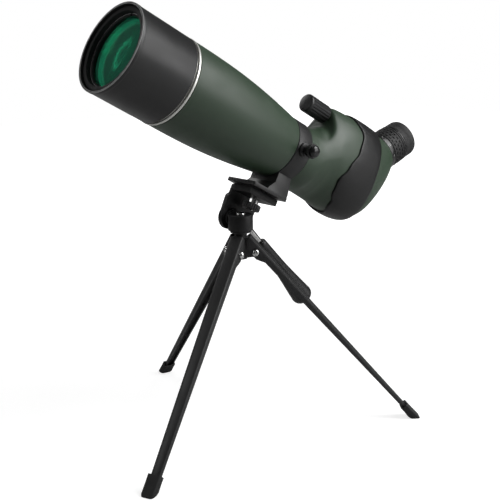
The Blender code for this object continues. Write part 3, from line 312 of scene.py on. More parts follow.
# fine and broad unevenness of a moulded, cast or sprayed surface
def grainGroup():
    values = {"Fine Scale": 900.0, "Broad Scale": 40.0, "Fine Share": 0.6}
    group, entry, leave = newGroup("surfaceGrain", values, ("Height", "Mottle"))
    given = entry.outputs
    fine = noiseNode(group, -500, 150, given["Vector"], given["Fine Scale"], {"Detail": 3.0})
    broad = noiseNode(group, -500, -150, given["Vector"], given["Broad Scale"],
                      {"Detail": 5.0, "Roughness": 0.6})
    blend = addNode(group, "ShaderNodeMix", 0, 80, data_type="FLOAT")
    linkAll(group, (given["Fine Share"], blend.inputs["Factor"]), (broad, blend.inputs[2]),
            (fine, blend.inputs[3]), (blend.outputs[0], leave.inputs["Height"]),
            (broad, leave.inputs["Mottle"]))
    return group


# round pimples of textured rubber
def stippleGroup():
    group, entry, leave = newGroup("rubberStipple", {"Scale": 900.0}, ("Height",))
    cells = addNode(group, "ShaderNodeTexVoronoi", -500, 0)
    setInputs(cells, {"Randomness": 0.85})
    spread = rangeNode(group, -200, 0, cells.outputs["Distance"], (0.05, 0.6, 1.0, 0.0))
    linkAll(group, (entry.outputs["Vector"], cells.inputs["Vector"]),
            (entry.outputs["Scale"], cells.inputs["Scale"]), (spread, leave.inputs["Height"]))
    return group


# rings left by a lathe, along X and across the end faces
def latheGroup():
    group, entry, leave = newGroup("latheLines", {"Pitch": 4000.0}, ("Height",))
    split = addNode(group, "ShaderNodeSeparateXYZ", -600, 0)
    across = mathNode(group, "POWER", -420, -80, split.outputs[1], 2.0)
    upward = mathNode(group, "POWER", -420, -240, split.outputs[2], 2.0)
    radius = mathNode(group, "SQRT", -120, -160, mathNode(group, "ADD", -260, -160, across, upward))
    run = mathNode(group, "ADD", 0, 0, split.outputs[0], radius)
    lines = addNode(group, "ShaderNodeTexNoise", 340, 0, noise_dimensions="1D")
    setInputs(lines, {"Detail": 4.0})
    linkAll(group, (entry.outputs["Vector"], split.inputs[0]), (run, lines.inputs["W"]),
            (entry.outputs["Pitch"], lines.inputs["Scale"]),
            (lines.outputs["Fac"], leave.inputs["Height"]))
    return group


# hairline scratches and finger marks as masks
def handlingGroup():
    group, entry, leave = newGroup("handlingMarks", {"Scale": 30.0}, ("Scratches", "Smudges"))
    given = entry.outputs
    stretch = addNode(group, "ShaderNodeMapping", -600, 160)
    setInputs(stretch, {"Rotation": (0.6, 0.3, 0.9), "Scale": (1.0, 22.0, 22.0)})
    hair = noiseNode(group, -380, 160, stretch.outputs[0], given["Scale"], {"Detail": 2.0})
    smear = noiseNode(group, -380, -160, given["Vector"], given["Scale"],
                      {"Detail": 6.0, "Distortion": 0.8})
    linkAll(group, (given["Vector"], stretch.inputs["Vector"]),
            (rangeNode(group, -120, 160, hair, (0.66, 0.74)), leave.inputs["Scratches"]),
            (rangeNode(group, -120, -160, smear, (0.42, 0.70)), leave.inputs["Smudges"]))
    return group


groups = {"grain": grainGroup(), "stipple": stippleGroup(), "lathe": latheGroup(),
          "handling": handlingGroup()}


def useGroup(tree, name, x, y, vector, values):
    node = addNode(tree, "ShaderNodeGroup", x, y, node_tree=groups[name])
    tree.links.new(vector, node.inputs["Vector"])
    setInputs(node, values)
    return node.outputs


# what a finish has where it says nothing else
plainFinish = {"metallic": 0.0, "specular": 0.5, "coat": 0.0, "coatRoughness": 0.2, "glow": 0.0}
plainSurface = {**plainFinish, "markScale": 30.0, "smudge": 0.04, "fineScale": 1500.0,
                "broadScale": 40.0, "fineShare": 0.6, "mottle": 0.10, "relief": 0.20,
                "depth": 0.0002, "scratches": 0.25, "stipple": 0.0, "lathe": 0.0}
plainGlass = {**plainFinish, "markScale": 18.0, "smear": 0.03}


# a material with plain values, and finger marks that change its roughness between two limits
def startMaterial(name, look, lowRoughness, highRoughness):
    material = bpy.data.materials.new(name)
    material.use_nodes = True
    tree = material.node_tree
    shader = tree.nodes["Principled BSDF"]
    setInputs(shader, {"Base Color": (*look["colour"], 1.0), "Roughness": look["roughness"],
                       "Metallic": look["metallic"], "Coat Weight": look["coat"],
                       "Coat Roughness": look["coatRoughness"],
                       "Specular IOR Level": look["specular"],
                       "Emission Color": (1.0, 1.0, 1.0, 1.0), "Emission Strength": look["glow"]})
    where = addNode(tree, "ShaderNodeTexCoord", -1200, 0).outputs["Object"]
    marks = useGroup(tree, "handling", -900, -200, where, {"Scale": look["markScale"]})
    gloss = rangeNode(tree, -520, -120, marks["Smudges"], (0.0, 1.0, lowRoughness, highRoughness),
                      "LINEAR")
    tree.links.new(gloss, shader.inputs["Roughness"])
    return material, shader, where, marks


# colour, roughness and relief of a painted, moulded, metal or rubber surface
def surfaceMaterial(name, ownLook):
    look = {**plainSurface, **ownLook}
    material, shader, where, marks = startMaterial(
        name, look, look["roughness"] - look["smudge"], look["roughness"] + look["smudge"])
    tree = material.node_tree
    grain = useGroup(tree, "grain", -900, 100, where,
                     {"Fine Scale": look["fineScale"], "Broad Scale": look["broadScale"],
                      "Fine Share": look["fineShare"]})
    tint = addNode(tree, "ShaderNodeMix", -520, 260, data_type="RGBA")
    worn = addNode(tree, "ShaderNodeMix", -300, 260, data_type="RGBA")
    darker, lighter = 1.0 - look["mottle"], 1.0 + look["mottle"]
    tint.inputs[6].default_value = (*[part * darker for part in look["colour"]], 1.0)
    tint.inputs[7].default_value = (*[part * lighter for part in look["colour"]], 1.0)
    worn.inputs[7].default_value = (*[min(1.0, part * 1.5 + 0.008) for part in look["colour"]], 1.0)
    faint = mathNode(tree, "MULTIPLY", -520, 60, marks["Scratches"], look["scratches"])
    height = grain["Height"]
    if look["stipple"]:
        dots = useGroup(tree, "stipple", -900, -420, where, {"Scale": look["stipple"]})
        height = mathNode(tree, "ADD", -520, -420, dots["Height"], height)
    if look["lathe"]:
        lines = useGroup(tree, "lathe", -900, -620, where, {"Pitch": look["lathe"]})
        height = mathNode(tree, "ADD", -520, -600, lines["Height"], height)
    relief = addNode(tree, "ShaderNodeBump", -260, -320)
    setInputs(relief, {"Strength": look["relief"], "Distance": look["depth"]})
    linkAll(tree, (grain["Mottle"], tint.inputs["Factor"]), (faint, worn.inputs["Factor"]),
            (tint.outputs[2], worn.inputs[6]), (worn.outputs[2], shader.inputs["Base Color"]),
            (height, relief.inputs["Height"]), (relief.outputs[0], shader.inputs["Normal"]))
    return material


def glassMaterial(name, ownLook):
    look = {**plainGlass, **ownLook}
    smeared = look["roughness"] + look["smear"]
    material, shader = startMaterial(name, look, look["roughness"], smeared)[:2]
    setInputs(shader, {"Transmission Weight": look["transmission"], "IOR": look["bend"],
                       "Specular Tint": (*look["tint"], 1.0)})
    return material


turnedEdge = {"roughness": 0.45, "fineShare": 0.7, "mottle": 0.06, "relief": 0.1, "lathe": 2600.0}
pressedCoat = {"roughness": 0.46, "broadScale": 26.0, "fineShare": 0.75, "mottle": 0.14,
               "depth": 0.00018, "scratches": 0.15}
looks = {
    "greenLacquer": {"colour": (0.030, 0.054, 0.031), "roughness": 0.49, "fineScale": 2600.0,
                     "broadScale": 14.0, "fineShare": 0.85, "mottle": 0.06, "relief": 0.10,
                     "depth": 0.00012, "scratches": 0.08, "coat": 0.10, "coatRoughness": 0.40},
    "hoodLacquer": {"colour": (0.013, 0.013, 0.0135), "roughness": 0.40, "fineScale": 2800.0,
                    "broadScale": 12.0, "fineShare": 0.85, "mottle": 0.08, "relief": 0.10,
                    "depth": 0.00012, "scratches": 0.08},
    "collarLacquer": {"colour": (0.016, 0.016, 0.0165), "roughness": 0.42, "fineScale": 2200.0,
                      "broadScale": 20.0, "fineShare": 0.8, "relief": 0.14, "depth": 0.00015,
                      "scratches": 0.12},
    # a darker, less shiny copy of the tripod's lacquer for the pan block and tilt bracket: painted
    # shade under the scope
    "paintedShadeHeadLacquer": {**pressedCoat, "colour": (0.009, 0.009, 0.0094), "specular": 0.35},
    "tripodLacquer": {**pressedCoat, "colour": (0.021, 0.021, 0.0216)},
    "darkInside": {"colour": (0.006, 0.006, 0.0062), "roughness": 0.62, "fineShare": 0.7,
                   "lathe": 2200.0, "depth": 0.0003},
    "mouldedBlack": {"colour": (0.014, 0.014, 0.0145), "roughness": 0.40, "fineScale": 1800.0,
                     "broadScale": 30.0, "fineShare": 0.8, "relief": 0.16, "depth": 0.00015},
    "gripBlack": {"colour": (0.009, 0.009, 0.0094), "roughness": 0.48, "fineScale": 1300.0,
                  "broadScale": 24.0, "fineShare": 0.8, "mottle": 0.12, "relief": 0.22,
                  "depth": 0.00018},
    "capBlack": {"colour": (0.008, 0.008, 0.0085), "roughness": 0.20, "broadScale": 30.0,
                 "mottle": 0.06, "relief": 0.06},
    "glossBlack": {"colour": (0.009, 0.009, 0.0094), "roughness": 0.32, "fineScale": 900.0,
                   "broadScale": 20.0, "fineShare": 0.5, "mottle": 0.05, "relief": 0.03,
                   "smudge": 0.05},
    "armourRubber": {"colour": (0.0070, 0.0070, 0.0073), "specular": 0.42, "roughness": 0.44,
                     "fineScale": 2000.0, "broadScale": 18.0, "mottle": 0.14, "relief": 0.30,
                     "stipple": 1500.0, "depth": 0.00018, "scratches": 0.05},
    "softRubber": {"colour": (0.011, 0.011, 0.0115), "roughness": 0.66, "fineScale": 1400.0,
                   "broadScale": 30.0, "mottle": 0.16, "relief": 0.22, "scratches": 0.05},
    "polishedSteel": {"colour": (0.66, 0.66, 0.65), "roughness": 0.16, "metallic": 1.0,
                      "broadScale": 60.0, "fineShare": 0.7, "mottle": 0.05, "relief": 0.05,
                      "smudge": 0.05, "lathe": 5000.0, "depth": 0.00003},
    "turnedSilver": {"colour": (0.78, 0.78, 0.74), "roughness": 0.40, "metallic": 0.7,
                     "mottle": 0.04, "relief": 0.25, "lathe": 4500.0, "depth": 0.00004},
    "plainBrass": {"colour": (0.60, 0.42, 0.17), "roughness": 0.30, "metallic": 1.0,
                   "broadScale": 60.0, "mottle": 0.08, "lathe": 3000.0, "depth": 0.00005},
    "darkAnodised": {"colour": (0.16, 0.16, 0.165), "roughness": 0.40, "metallic": 1.0,
                     "fineScale": 1800.0, "fineShare": 0.7, "mottle": 0.08, "relief": 0.15},
    # light grey of thin edge rings on the hood and the retainer: painted highlight
    "paintedHighlightGrey": {**turnedEdge, "colour": (0.42, 0.42, 0.42), "depth": 0.0001},
    # grey rings that glow though no lamp: painted light inside the objective cell
    "paintedLightBand": {**turnedEdge, "colour": (0.30, 0.31, 0.30), "glow": 1.1},
    "paintedLightEdge": {**turnedEdge, "colour": (0.30, 0.31, 0.30), "glow": 2.2},
    "whiteInk": {"colour": (0.45, 0.45, 0.44), "roughness": 0.5, "fineScale": 2400.0,
                 "broadScale": 90.0, "mottle": 0.05, "relief": 0.1},
}
glassLooks = {
    "greenCoated": {"colour": (0.09, 0.56, 0.36), "roughness": 0.02, "transmission": 0.74,
                    "bend": 1.7, "tint": (0.16, 1.0, 0.52)},
    "flintCoated": {"colour": (0.07, 0.44, 0.28), "roughness": 0.02, "transmission": 0.84,
                    "bend": 1.7, "tint": (0.2, 1.0, 0.6)},
    "innerCoated": {"colour": (0.16, 0.60, 0.40), "roughness": 0.02, "transmission": 0.6,
                    "bend": 1.9, "tint": (0.2, 1.0, 0.6)},
    "clearGlass": {"colour": (0.90, 0.96, 0.94), "roughness": 0.01, "transmission": 0.95,
                   "bend": 1.52, "tint": (0.8, 0.9, 1.0)},
}
materials = {name: surfaceMaterial(name, look) for name, look in looks.items()}
materials.update({name: glassMaterial(name, look) for name, look in glassLooks.items()})
print("materials made")

# main tube: stations and radii of the green skin, then the nose and the collar's journal
barrel = {
    "run": ((-0.0904, 0.0451), (-0.0570, 0.0450), (-0.0250, 0.0439), (0.0060, 0.0414),
            (0.0370, 0.0377), (0.0602, 0.0343)),
    "frontChamfer": (0.0005, 0.0006), "rearChamfer": (0.0004, 0.0005), "wall": 0.0030,
    "noseFront": -0.1409, "noseRadius": 0.0424, "noseWall": 0.0025,
    "journalRadius": 0.0299, "journalWall": 0.0027, "journalEnd": 0.0885, "throat": 0.0030,
}
trim = {"width": 0.0040, "radius": 0.0454, "lipWidth": 0.0014, "lipRadius": 0.0431, "slope": 0.0001,
        "round": 0.0006}
skin = curveThrough(barrel["run"])
skinFront, skinRear = skin[0], skin[-1]
noseRadius = barrel["noseRadius"]
noseBore = noseRadius - barrel["noseWall"]
journalBore = barrel["journalRadius"] - barrel["journalWall"]
barrelOutline = [(barrel["noseFront"], noseBore), (barrel["noseFront"], noseRadius),
                 (skinFront[0], noseRadius),
                 (skinFront[0], skinFront[1] - barrel["frontChamfer"][1]),
                 (skinFront[0] + barrel["frontChamfer"][0], skinFront[1])]
barrelOutline += skin[1:-1]
barrelOutline += [(skinRear[0] - barrel["rearChamfer"][0], skinRear[1]),
                  (skinRear[0], skinRear[1] - barrel["rearChamfer"][1]),
                  (skinRear[0], barrel["journalRadius"]),
                  (barrel["journalEnd"], barrel["journalRadius"]),
                  (barrel["journalEnd"], journalBore),
                  (skinRear[0] - barrel["throat"], journalBore)]
barrelOutline += [(station, radius - barrel["wall"])
                  for station, radius in reversed(barrel["run"][2:-1])]
barrelOutline += [(barrel["run"][1][0], noseBore)]
turnedPiece("greenBarrel", barrelOutline, tubePlace, "scope", "greenLacquer", "green_paint",
            ["front_barrel"], segments=160)

trimFront = skinFront[0] - gap - trim["width"]
trimRear = trimFront + trim["width"]
trimStep = trimFront + trim["lipWidth"]
trimOutline = [(trimFront, noseRadius + gap), (trimFront, trim["lipRadius"]),
               (trimStep, trim["lipRadius"]), (trimStep + trim["slope"], trim["radius"]),
               (trimRear, trim["radius"]), (trimRear, noseRadius + gap)]
turnedPiece("silverRing", filleted(trimOutline, trim["round"], 4), tubePlace, "scope",
            "turnedSilver", "silver", ["trim_ring"], segments=160)

# sliding hood; the groove in its front rim is given as depths and heights above the bore
hood = {"front": -0.1610, "rear": -0.0950, "radius": 0.0450, "wall": 0.0021, "lip": 0.0035,
        "lipGrow": 0.0003, "lipSlope": 0.0003, "boreChamfer": (0.0006, 0.0003), "chamfer": 0.0004,
        "groove": ((0.0, 0.0009), (0.0005, 0.0011), (0.0005, 0.0014), (0.0, 0.0016)),
        "round": 0.00025, "paintedHighlightBands": {"Outer": (0.0015, 0.0023), "Inner": (0.0003, 0.0010)},
        "bandProud": 0.00005, "bandDepth": 0.0006, "bandRound": 0.00012}
hoodFront, hoodRear = hood["front"], hood["rear"]
hoodBore = hood["radius"] - hood["wall"]
hoodRim = hood["radius"] + hood["lipGrow"]
hoodOutline = [(hoodFront + hood["boreChamfer"][0], hoodBore),
               (hoodFront, hoodBore + hood["boreChamfer"][1])]
hoodOutline += [(hoodFront + depth, hoodBore + height) for depth, height in hood["groove"]]
hoodOutline += [(hoodFront, hoodRim - hood["chamfer"]), (hoodFront + hood["chamfer"], hoodRim),
                (hoodFront + hood["lip"], hoodRim),
                (hoodFront + hood["lip"] + hood["lipSlope"], hood["radius"]),
                (hoodRear - hood["chamfer"], hood["radius"]),
                (hoodRear, hood["radius"] - hood["chamfer"]), (hoodRear, hoodBore)]
turnedPiece("slidingHood", filleted(hoodOutline, hood["round"], 2), tubePlace, "sunshade",
            "hoodLacquer", "black_paint", ["sunshade"], segments=160)

# two light grey rings on the hood's front rim, with the groove between them: painted highlight on the
# rim's edges
for part, (low, high) in hood["paintedHighlightBands"].items():
    bandRun = bandOutline(hoodFront - hood["bandProud"], hoodFront + hood["bandDepth"],
                          hoodBore + low, hoodBore + high)
    turnedPiece("hoodRim" + part, filleted(bandRun, hood["bandRound"], 2), tubePlace, "sunshade",
                "paintedHighlightGrey", "black_paint", segments=160)

# objective: the cell in the tube's nose, two lenses, and the ring that holds them
objective = {"cellFront": -0.1585, "cellRear": -0.1412, "spigot": 0.0100, "spigotWall": 0.0028,
             "chamfer": 0.0006, "frontBore": 0.0376, "lensBore": 0.0363, "seatBore": 0.0343,
             "shoulder": 0.0007, "lensRadius": 0.0360, "lensFront": -0.1525, "sag": 0.0030,
             "crownEdge": 0.0035, "flintEdge": 0.0071, "flintHollow": 0.0008, "round": 0.0002}
crownEdge = objective["lensFront"] + objective["sag"]
crownRear = crownEdge + objective["crownEdge"]
flintRear = crownRear + objective["flintEdge"]
lensSeat = flintRear + gap
boreStep = crownEdge - objective["shoulder"]
cellFront, cellRear = objective["cellFront"], objective["cellRear"]
spigotRadius = noseRadius - objective["spigotWall"]
spigotRear = cellRear + objective["spigot"]
cellOutline = [(cellFront, objective["frontBore"]), (cellFront, noseRadius - objective["chamfer"]),
               (cellFront + objective["chamfer"], noseRadius), (cellRear, noseRadius),
               (cellRear, spigotRadius), (spigotRear, spigotRadius),
               (spigotRear, objective["seatBore"]), (lensSeat, objective["seatBore"]),
               (lensSeat, objective["lensBore"]), (boreStep, objective["lensBore"]),
               (boreStep, objective["frontBore"])]
turnedPiece("objectiveCell", filleted(cellOutline, objective["round"], 2), tubePlace, "scope",
            "darkInside", "black_paint", ["objective_cell"], segments=144)

# thin rings inside the cell that glow though no lamp lights them, seen through the lenses: painted
# light; limits are front, rear, inner and outer
cellPaintedLights = {"cellPaintedLightBand": ((-0.1386, -0.1318, 0.0341, 0.0343), "paintedLightBand"),
             "cellPaintedLightStep": ((-0.1262, -0.1256, 0.0338, 0.0343), "paintedLightEdge")}
for name, (limits, look) in cellPaintedLights.items():
    turnedPiece(name, bandOutline(*limits), tubePlace, "scope", look, "black_paint")

retainer = {"width": 0.0024, "length": 0.0032, "slot": (0.0024, 0.0022, 0.0900),
            "outerChamfer": (0.0004, 0.0003), "innerChamfer": (0.0009, 0.0004),
            "glint": (0.0006, 0.0001), "glintProud": 0.00005, "glintDepth": 0.0004,
            "round": 0.0002, "glintRound": 0.0001}
retainerOuter = objective["frontBore"] - gap
retainerInner = retainerOuter - retainer["width"]
retainerRear = boreStep - gap
retainerFront = retainerRear - retainer["length"]
outerLength, outerDepth = retainer["outerChamfer"]
innerLength, innerDepth = retainer["innerChamfer"]
retainerOutline = [(retainerFront, retainerInner + innerDepth),
                   (retainerFront, retainerOuter - outerDepth),
                   (retainerFront + outerLength, retainerOuter), (retainerRear, retainerOuter),
                   (retainerRear, retainerInner), (retainerFront + innerLength, retainerInner)]
glintOutline = bandOutline(retainerFront - retainer["glintProud"],
                           retainerFront + retainer["glintDepth"],
                           retainerOuter - retainer["glint"][0], retainerOuter - retainer["glint"][1])


# a turned ring with the two slots for a spanner
def slottedRing(name, outline, rounding):
    ring = turnedMesh(name, filleted(outline, rounding, 2), segments=144)
    slots = blockMesh("slotCutter", (retainerFront, 0.0, 0.0), retainer["slot"])
    return cutMesh(name, ring, [slots])


# a light grey ring on the retainer's front edge: painted highlight
placePiece("retainerGlint", slottedRing("retainerGlint", glintOutline, retainer["glintRound"]),
           tubePlace, "scope", "paintedHighlightGrey")
placePiece("retainingRing", slottedRing("retainingRing", retainerOutline, retainer["round"]),
           tubePlace, "scope", "mouldedBlack", ["objective_retaining_ring"])


def lensOutline(radius, frontVertex, frontEdge, rearEdge, rearVertex, steps=14):
    front = [(frontVertex + (frontEdge - frontVertex) * (step / steps) ** 2, radius * step / steps)
             for step in range(steps + 1)]
    rear = [(rearVertex + (rearEdge - rearVertex) * (step / steps) ** 2, radius * step / steps)
            for step in range(steps, -1, -1)]
    return front + rear


crownOutline = lensOutline(objective["lensRadius"], objective["lensFront"], crownEdge, crownRear,
                           crownRear + objective["sag"])
flintOutline = lensOutline(objective["lensRadius"], crownRear + objective["sag"] + gap,
                           crownRear + gap, flintRear, flintRear - objective["flintHollow"])
turnedPiece("crownLens", crownOutline, tubePlace, "scope", "greenCoated", "coated_glass",
            ["crown_lens"])
turnedPiece("flintLens", flintOutline, tubePlace, "scope", "flintCoated", "clear_glass",
            ["flint_lens"])
print("tube and objective done")

# prism housing; from evenFrom degrees off the top, its sides are averaged over a few rows either
# way, so that they run smoothly past the knob's block, and from row evenEnd on they stay as they are
housing = {"front": 0.0816, "wall": 0.0032, "samples": 96, "rowParts": 6, "innerEvery": 4,
           "knobRear": 0.1112, "portAngle": 48.5, "eyeCentre": (0.2136, 0.0595),
           "portStation": -0.0076, "portRadius": 0.0229,
           "evenFrom": 24.0, "evenOver": 45.0, "evenRows": 3.4, "evenEnd": 8.6, "evenSteps": 8}
portTurn = radians(housing["portAngle"])
portRight, portUp = cos(portTurn), sin(portTurn)
portRadius = housing["portRadius"]
portX = housing["eyeCentre"][0] + housing["portStation"] * portRight
portZ = housing["eyeCentre"][1] + housing["portStation"] * portUp
portTop = (portX - portRadius * portUp, portZ + portRadius * portRight)
portBottom = (portX + portRadius * portUp, portZ - portRadius * portRight)
roof = portTop[1]
# each row: top point, bottom point, half width, squareness
housingRows = (
    ((housing["front"], 0.0334), (housing["front"], -0.0334), 0.0334, 2.00),
    ((0.0900, 0.0337), (0.0900, -0.0340), 0.0335, 2.03),
    ((0.0975, 0.0352), (0.0970, -0.0344), 0.0336, 2.03),
    ((0.1040, 0.0400), (0.1030, -0.0347), 0.0338, 2.00),
    ((housing["knobRear"] + 0.0003, 0.0450), (0.1085, -0.0350), 0.0340, 1.90),
    ((housing["knobRear"] + 0.0018, 0.0640), (0.1140, -0.0353), 0.0342, 1.50),
    ((0.1172, roof - 0.0010), (0.1205, -0.0357), 0.0344, 1.55),
    ((0.1270, roof + 0.0002), (0.1310, -0.0362), 0.0346, 1.80),
    ((0.1420, roof + 0.0003), (0.1460, -0.0370), 0.0348, 2.15),
    ((0.1600, roof + 0.0003), (0.1650, -0.0376), 0.0348, 2.30),
    ((0.1745, roof + 0.0002), (0.1840, -0.0354), 0.0343, 2.25),
    ((0.1820, roof), (0.1990, -0.0258), 0.0330, 2.20),
    ((0.1865, roof), (0.2102, -0.0074), 0.0308, 2.15),
    ((0.1892, roof), (0.2186, 0.0126), 0.0280, 2.08),
    ((0.1906, roof), (0.2234, 0.0280), 0.0250, 2.03),
    (portTop, portBottom, portRadius, 2.00),
)
lastRow = len(housingRows) - 1


def housingSection(row):
    row = min(max(row, 0.0), float(lastRow))
    low = min(int(row), lastRow - 1)
    around = [housingRows[min(max(low + step, 0), lastRow)] for step in (-1, 0, 1, 2)]
    flat = [(*entry[0], *entry[1], entry[2], entry[3]) for entry in around]
    values = [blended(*column, row - low) for column in zip(*flat)]
    return values[0:2], values[2:4], values[4], values[5]


def sectionPoint(section, turn, grow):
    top, bottom, halfWidth, square = section
    middleX, middleZ = (top[0] + bottom[0]) / 2.0, (top[1] + bottom[1]) / 2.0
    upX, upZ = (top[0] - bottom[0]) / 2.0, (top[1] - bottom[1]) / 2.0
    halfHeight = sqrt(upX ** 2 + upZ ** 2)
    scale = (halfHeight + grow) / halfHeight
    upward = abs(cos(turn)) ** (2.0 / square) * (1.0 if cos(turn) >= 0.0 else -1.0)
    sideways = abs(sin(turn)) ** (2.0 / square) * (1.0 if sin(turn) >= 0.0 else -1.0)
    return Vector((middleX + upX * scale * upward, (halfWidth + grow) * sideways,
                   middleZ + upZ * scale * upward))


# degrees away from the top of the section
def awayFromTop(turn):
    return abs((turn * 180.0 / pi + 180.0) % 360.0 - 180.0)


# the section's point, evened out along the rows away from the roof
def skinPoint(row, turn, grow=0.0):
    share = min(max((awayFromTop(turn) - housing["evenFrom"]) / housing["evenOver"], 0.0), 1.0)
    width = max(0.0, min(housing["evenRows"] * eased(share), row, housing["evenEnd"] - row))
    if width < smallest:
        return sectionPoint(housingSection(row), turn, grow)
    steps = housing["evenSteps"]
    total, weights = Vector((0.0, 0.0, 0.0)), 0.0
    for step in range(-steps, steps + 1):
        weight = 0.5 + 0.5 * cos(pi * step / (steps + 1.0))
        total += weight * sectionPoint(housingSection(row + width * step / steps), turn, grow)
        weights += weight
    return total / weights


turns = [2.0 * pi * step / housing["samples"] for step in range(housing["samples"])]
rowNumbers = [part / housing["rowParts"] for part in range(lastRow * housing["rowParts"] + 1)]
housingRings = [[skinPoint(row, turn) for turn in turns] for row in rowNumbers]
housingRings += [[skinPoint(row, turn, -housing["wall"]) for turn in turns]
                 for row in reversed(rowNumbers[::housing["innerEvery"]])]
placePiece("greenHousing", loftMesh("greenHousing", housingRings, sharpAngle=38.0), tubePlace,
           "scope", "greenLacquer", ["prism_housing"])

# rubber armour: edges are an angle from the top and the housing rows of the front and rear edge;
# profile is the share of the way between those edges and the share of the thickness there
armour = {
    "gap": 0.0005, "thickness": 0.0020, "innerGap": 0.00005, "innerSteps": 12,
    "edges": ((0.0, 7.85, 10.75), (25.0, 8.05, 10.70), (50.0, 8.40, 10.60), (75.0, 8.20, 10.45),
              (95.0, 7.70, 10.35), (115.0, 7.25, 10.30), (130.0, 7.45, 10.28),
              (145.0, 7.95, 10.22), (180.0, 8.55, 10.15)),
    "profile": ((0.0, -0.20), (0.003, 0.20), (0.009, 0.52), (0.018, 0.66), (0.030, 0.74),
                (0.045, 0.78), (0.075, 0.82), (0.12, 0.90), (0.25, 0.96), (0.40, 0.98),
                (0.60, 0.98), (0.80, 0.97), (0.93, 0.93), (0.975, 0.80), (0.992, 0.50),
                (1.0, -0.20)),
}


def armourRows(turn):
    away = awayFromTop(turn)
    for first, second in zip(armour["edges"], armour["edges"][1:]):
        if away <= second[0]:
            share = eased((away - first[0]) / (second[0] - first[0]))
            return [first[side] + (second[side] - first[side]) * share for side in (1, 2)]
    return armour["edges"][-1][1:]


def armourRing(share, height):
    ring = []
    for turn in turns:
        front, rear = armourRows(turn)
        ring.append(skinPoint(front * (1.0 - share) + rear * share, turn, height))
    return ring


armourRings = [armourRing(share, armour["gap"] + armour["thickness"] * height)
               for share, height in armour["profile"]]
armourRings += [armourRing(step / armour["innerSteps"], armour["innerGap"])
                for step in range(armour["innerSteps"], -1, -1)]
placePiece("rubberArmour", loftMesh("rubberArmour", armourRings, sharpAngle=50.0), tubePlace,
           "scope", "armourRubber", ["rubber_armour"])
print("housing done")

# focusing knob; nose holds stations and drops from the full radius
focusKnob = {"radius": 0.0100, "length": 0.0325, "ribs": 18, "ribDepth": 0.0008, "ribShape": 0.6,
             "plainFront": 0.0042, "plainRear": 0.0012, "skin": 0.0006, "core": 0.0023,
             "coreStart": 0.0100,
             "nose": ((0.0, 0.0012), (0.0003, 0.0006), (0.0008, 0.0002), (0.0016, 0.0)),
             "ribStart": (-0.0002, 0.0003), "rearFrom": (0.0016, 0.0008), "rearDrop": 0.0014}


def knobRibs(turn, station, radius):
    if radius < focusKnob["radius"] - focusKnob["skin"] or station < focusKnob["plainFront"]:
        return 0.0
    if station > focusKnob["length"] - focusKnob["plainRear"]:
        return -focusKnob["ribDepth"]
    wave = (0.5 + 0.5 * cos(turn * focusKnob["ribs"])) ** focusKnob["ribShape"]
    return -focusKnob["ribDepth"] * (1.0 - wave)


knobLength, knobRadius = focusKnob["length"], focusKnob["radius"]
knobOutline = [(0.0, 0.0)]
knobOutline += [(station, knobRadius - drop) for station, drop in focusKnob["nose"]]
knobOutline += [(focusKnob["plainFront"] + shift, knobRadius) for shift in focusKnob["ribStart"]]
knobOutline += [(knobLength - back, knobRadius) for back in focusKnob["rearFrom"]]
knobOutline += [(knobLength, knobRadius - focusKnob["rearDrop"]), (knobLength, focusKnob["core"]),
                (focusKnob["coreStart"], focusKnob["core"]), (focusKnob["coreStart"], 0.0)]
turnedPiece("focusKnob", knobOutline, knobPlace, "focus_knob", "mouldedBlack", "black_plastic",
            ["focus_knob"], segments=216, shaped=knobRibs, sharpAngle=40.0)

# eyepiece, with stations from the front of the zoom ring
eyeBore = 0.0172
numberRing = {"front": -0.0136, "neckRadius": 0.0194, "start": -0.0073, "radius": 0.0224,
              "frontChamfer": (0.0008, 0.0003), "rearStart": -0.0012, "rearDrops": (0.0004, 0.0010),
              "round": 0.0003}
numberRadius = numberRing["radius"]
chamferLength, chamferDepth = numberRing["frontChamfer"]
numberOutline = [(numberRing["front"], eyeBore), (numberRing["front"], numberRing["neckRadius"]),
                 (numberRing["start"], numberRing["neckRadius"]),
                 (numberRing["start"], numberRadius - chamferDepth),
                 (numberRing["start"] + chamferLength, numberRadius),
                 (numberRing["rearStart"], numberRadius - numberRing["rearDrops"][0]),
                 (-gap, numberRadius - numberRing["rearDrops"][1]), (-gap, eyeBore)]
turnedPiece("numberRing", filleted(numberOutline, numberRing["round"], 2), eyePlace, "scope",
            "glossBlack", "black_paint", ["eyepiece_base"])

# shoulder holds stations from either end of the zoom ring and drops from its radius
zoomRing = {"radius": 0.0220, "length": 0.0178, "round": 0.0002, "dotRows": 3, "dotsRound": 26,
            "shoulder": ((0.0, 0.0007), (0.0007, 0.0003), (0.0022, 0.0003), (0.0026, 0.0009)),
            "dotDrop": 0.0006, "dot": (0.0030, 0.0030, 0.0012), "dotBevel": 0.0004}
zoomLength, zoomRadius = zoomRing["length"], zoomRing["radius"]
zoomOutline = [(0.0, eyeBore)]
zoomOutline += [(station, zoomRadius - drop) for station, drop in zoomRing["shoulder"]]
zoomOutline += [(zoomLength - station, zoomRadius - drop)
                for station, drop in reversed(zoomRing["shoulder"])]
zoomOutline += [(zoomLength, eyeBore)]
zoomShape = bmesh.new()
zoomShape.from_mesh(turnedMesh("zoomRingBody", filleted(zoomOutline, zoomRing["round"], 2)))
bandStart = zoomRing["shoulder"][-1][0]
bandLength = zoomLength - 2.0 * bandStart
dotRadius = zoomRadius - zoomRing["dotDrop"]
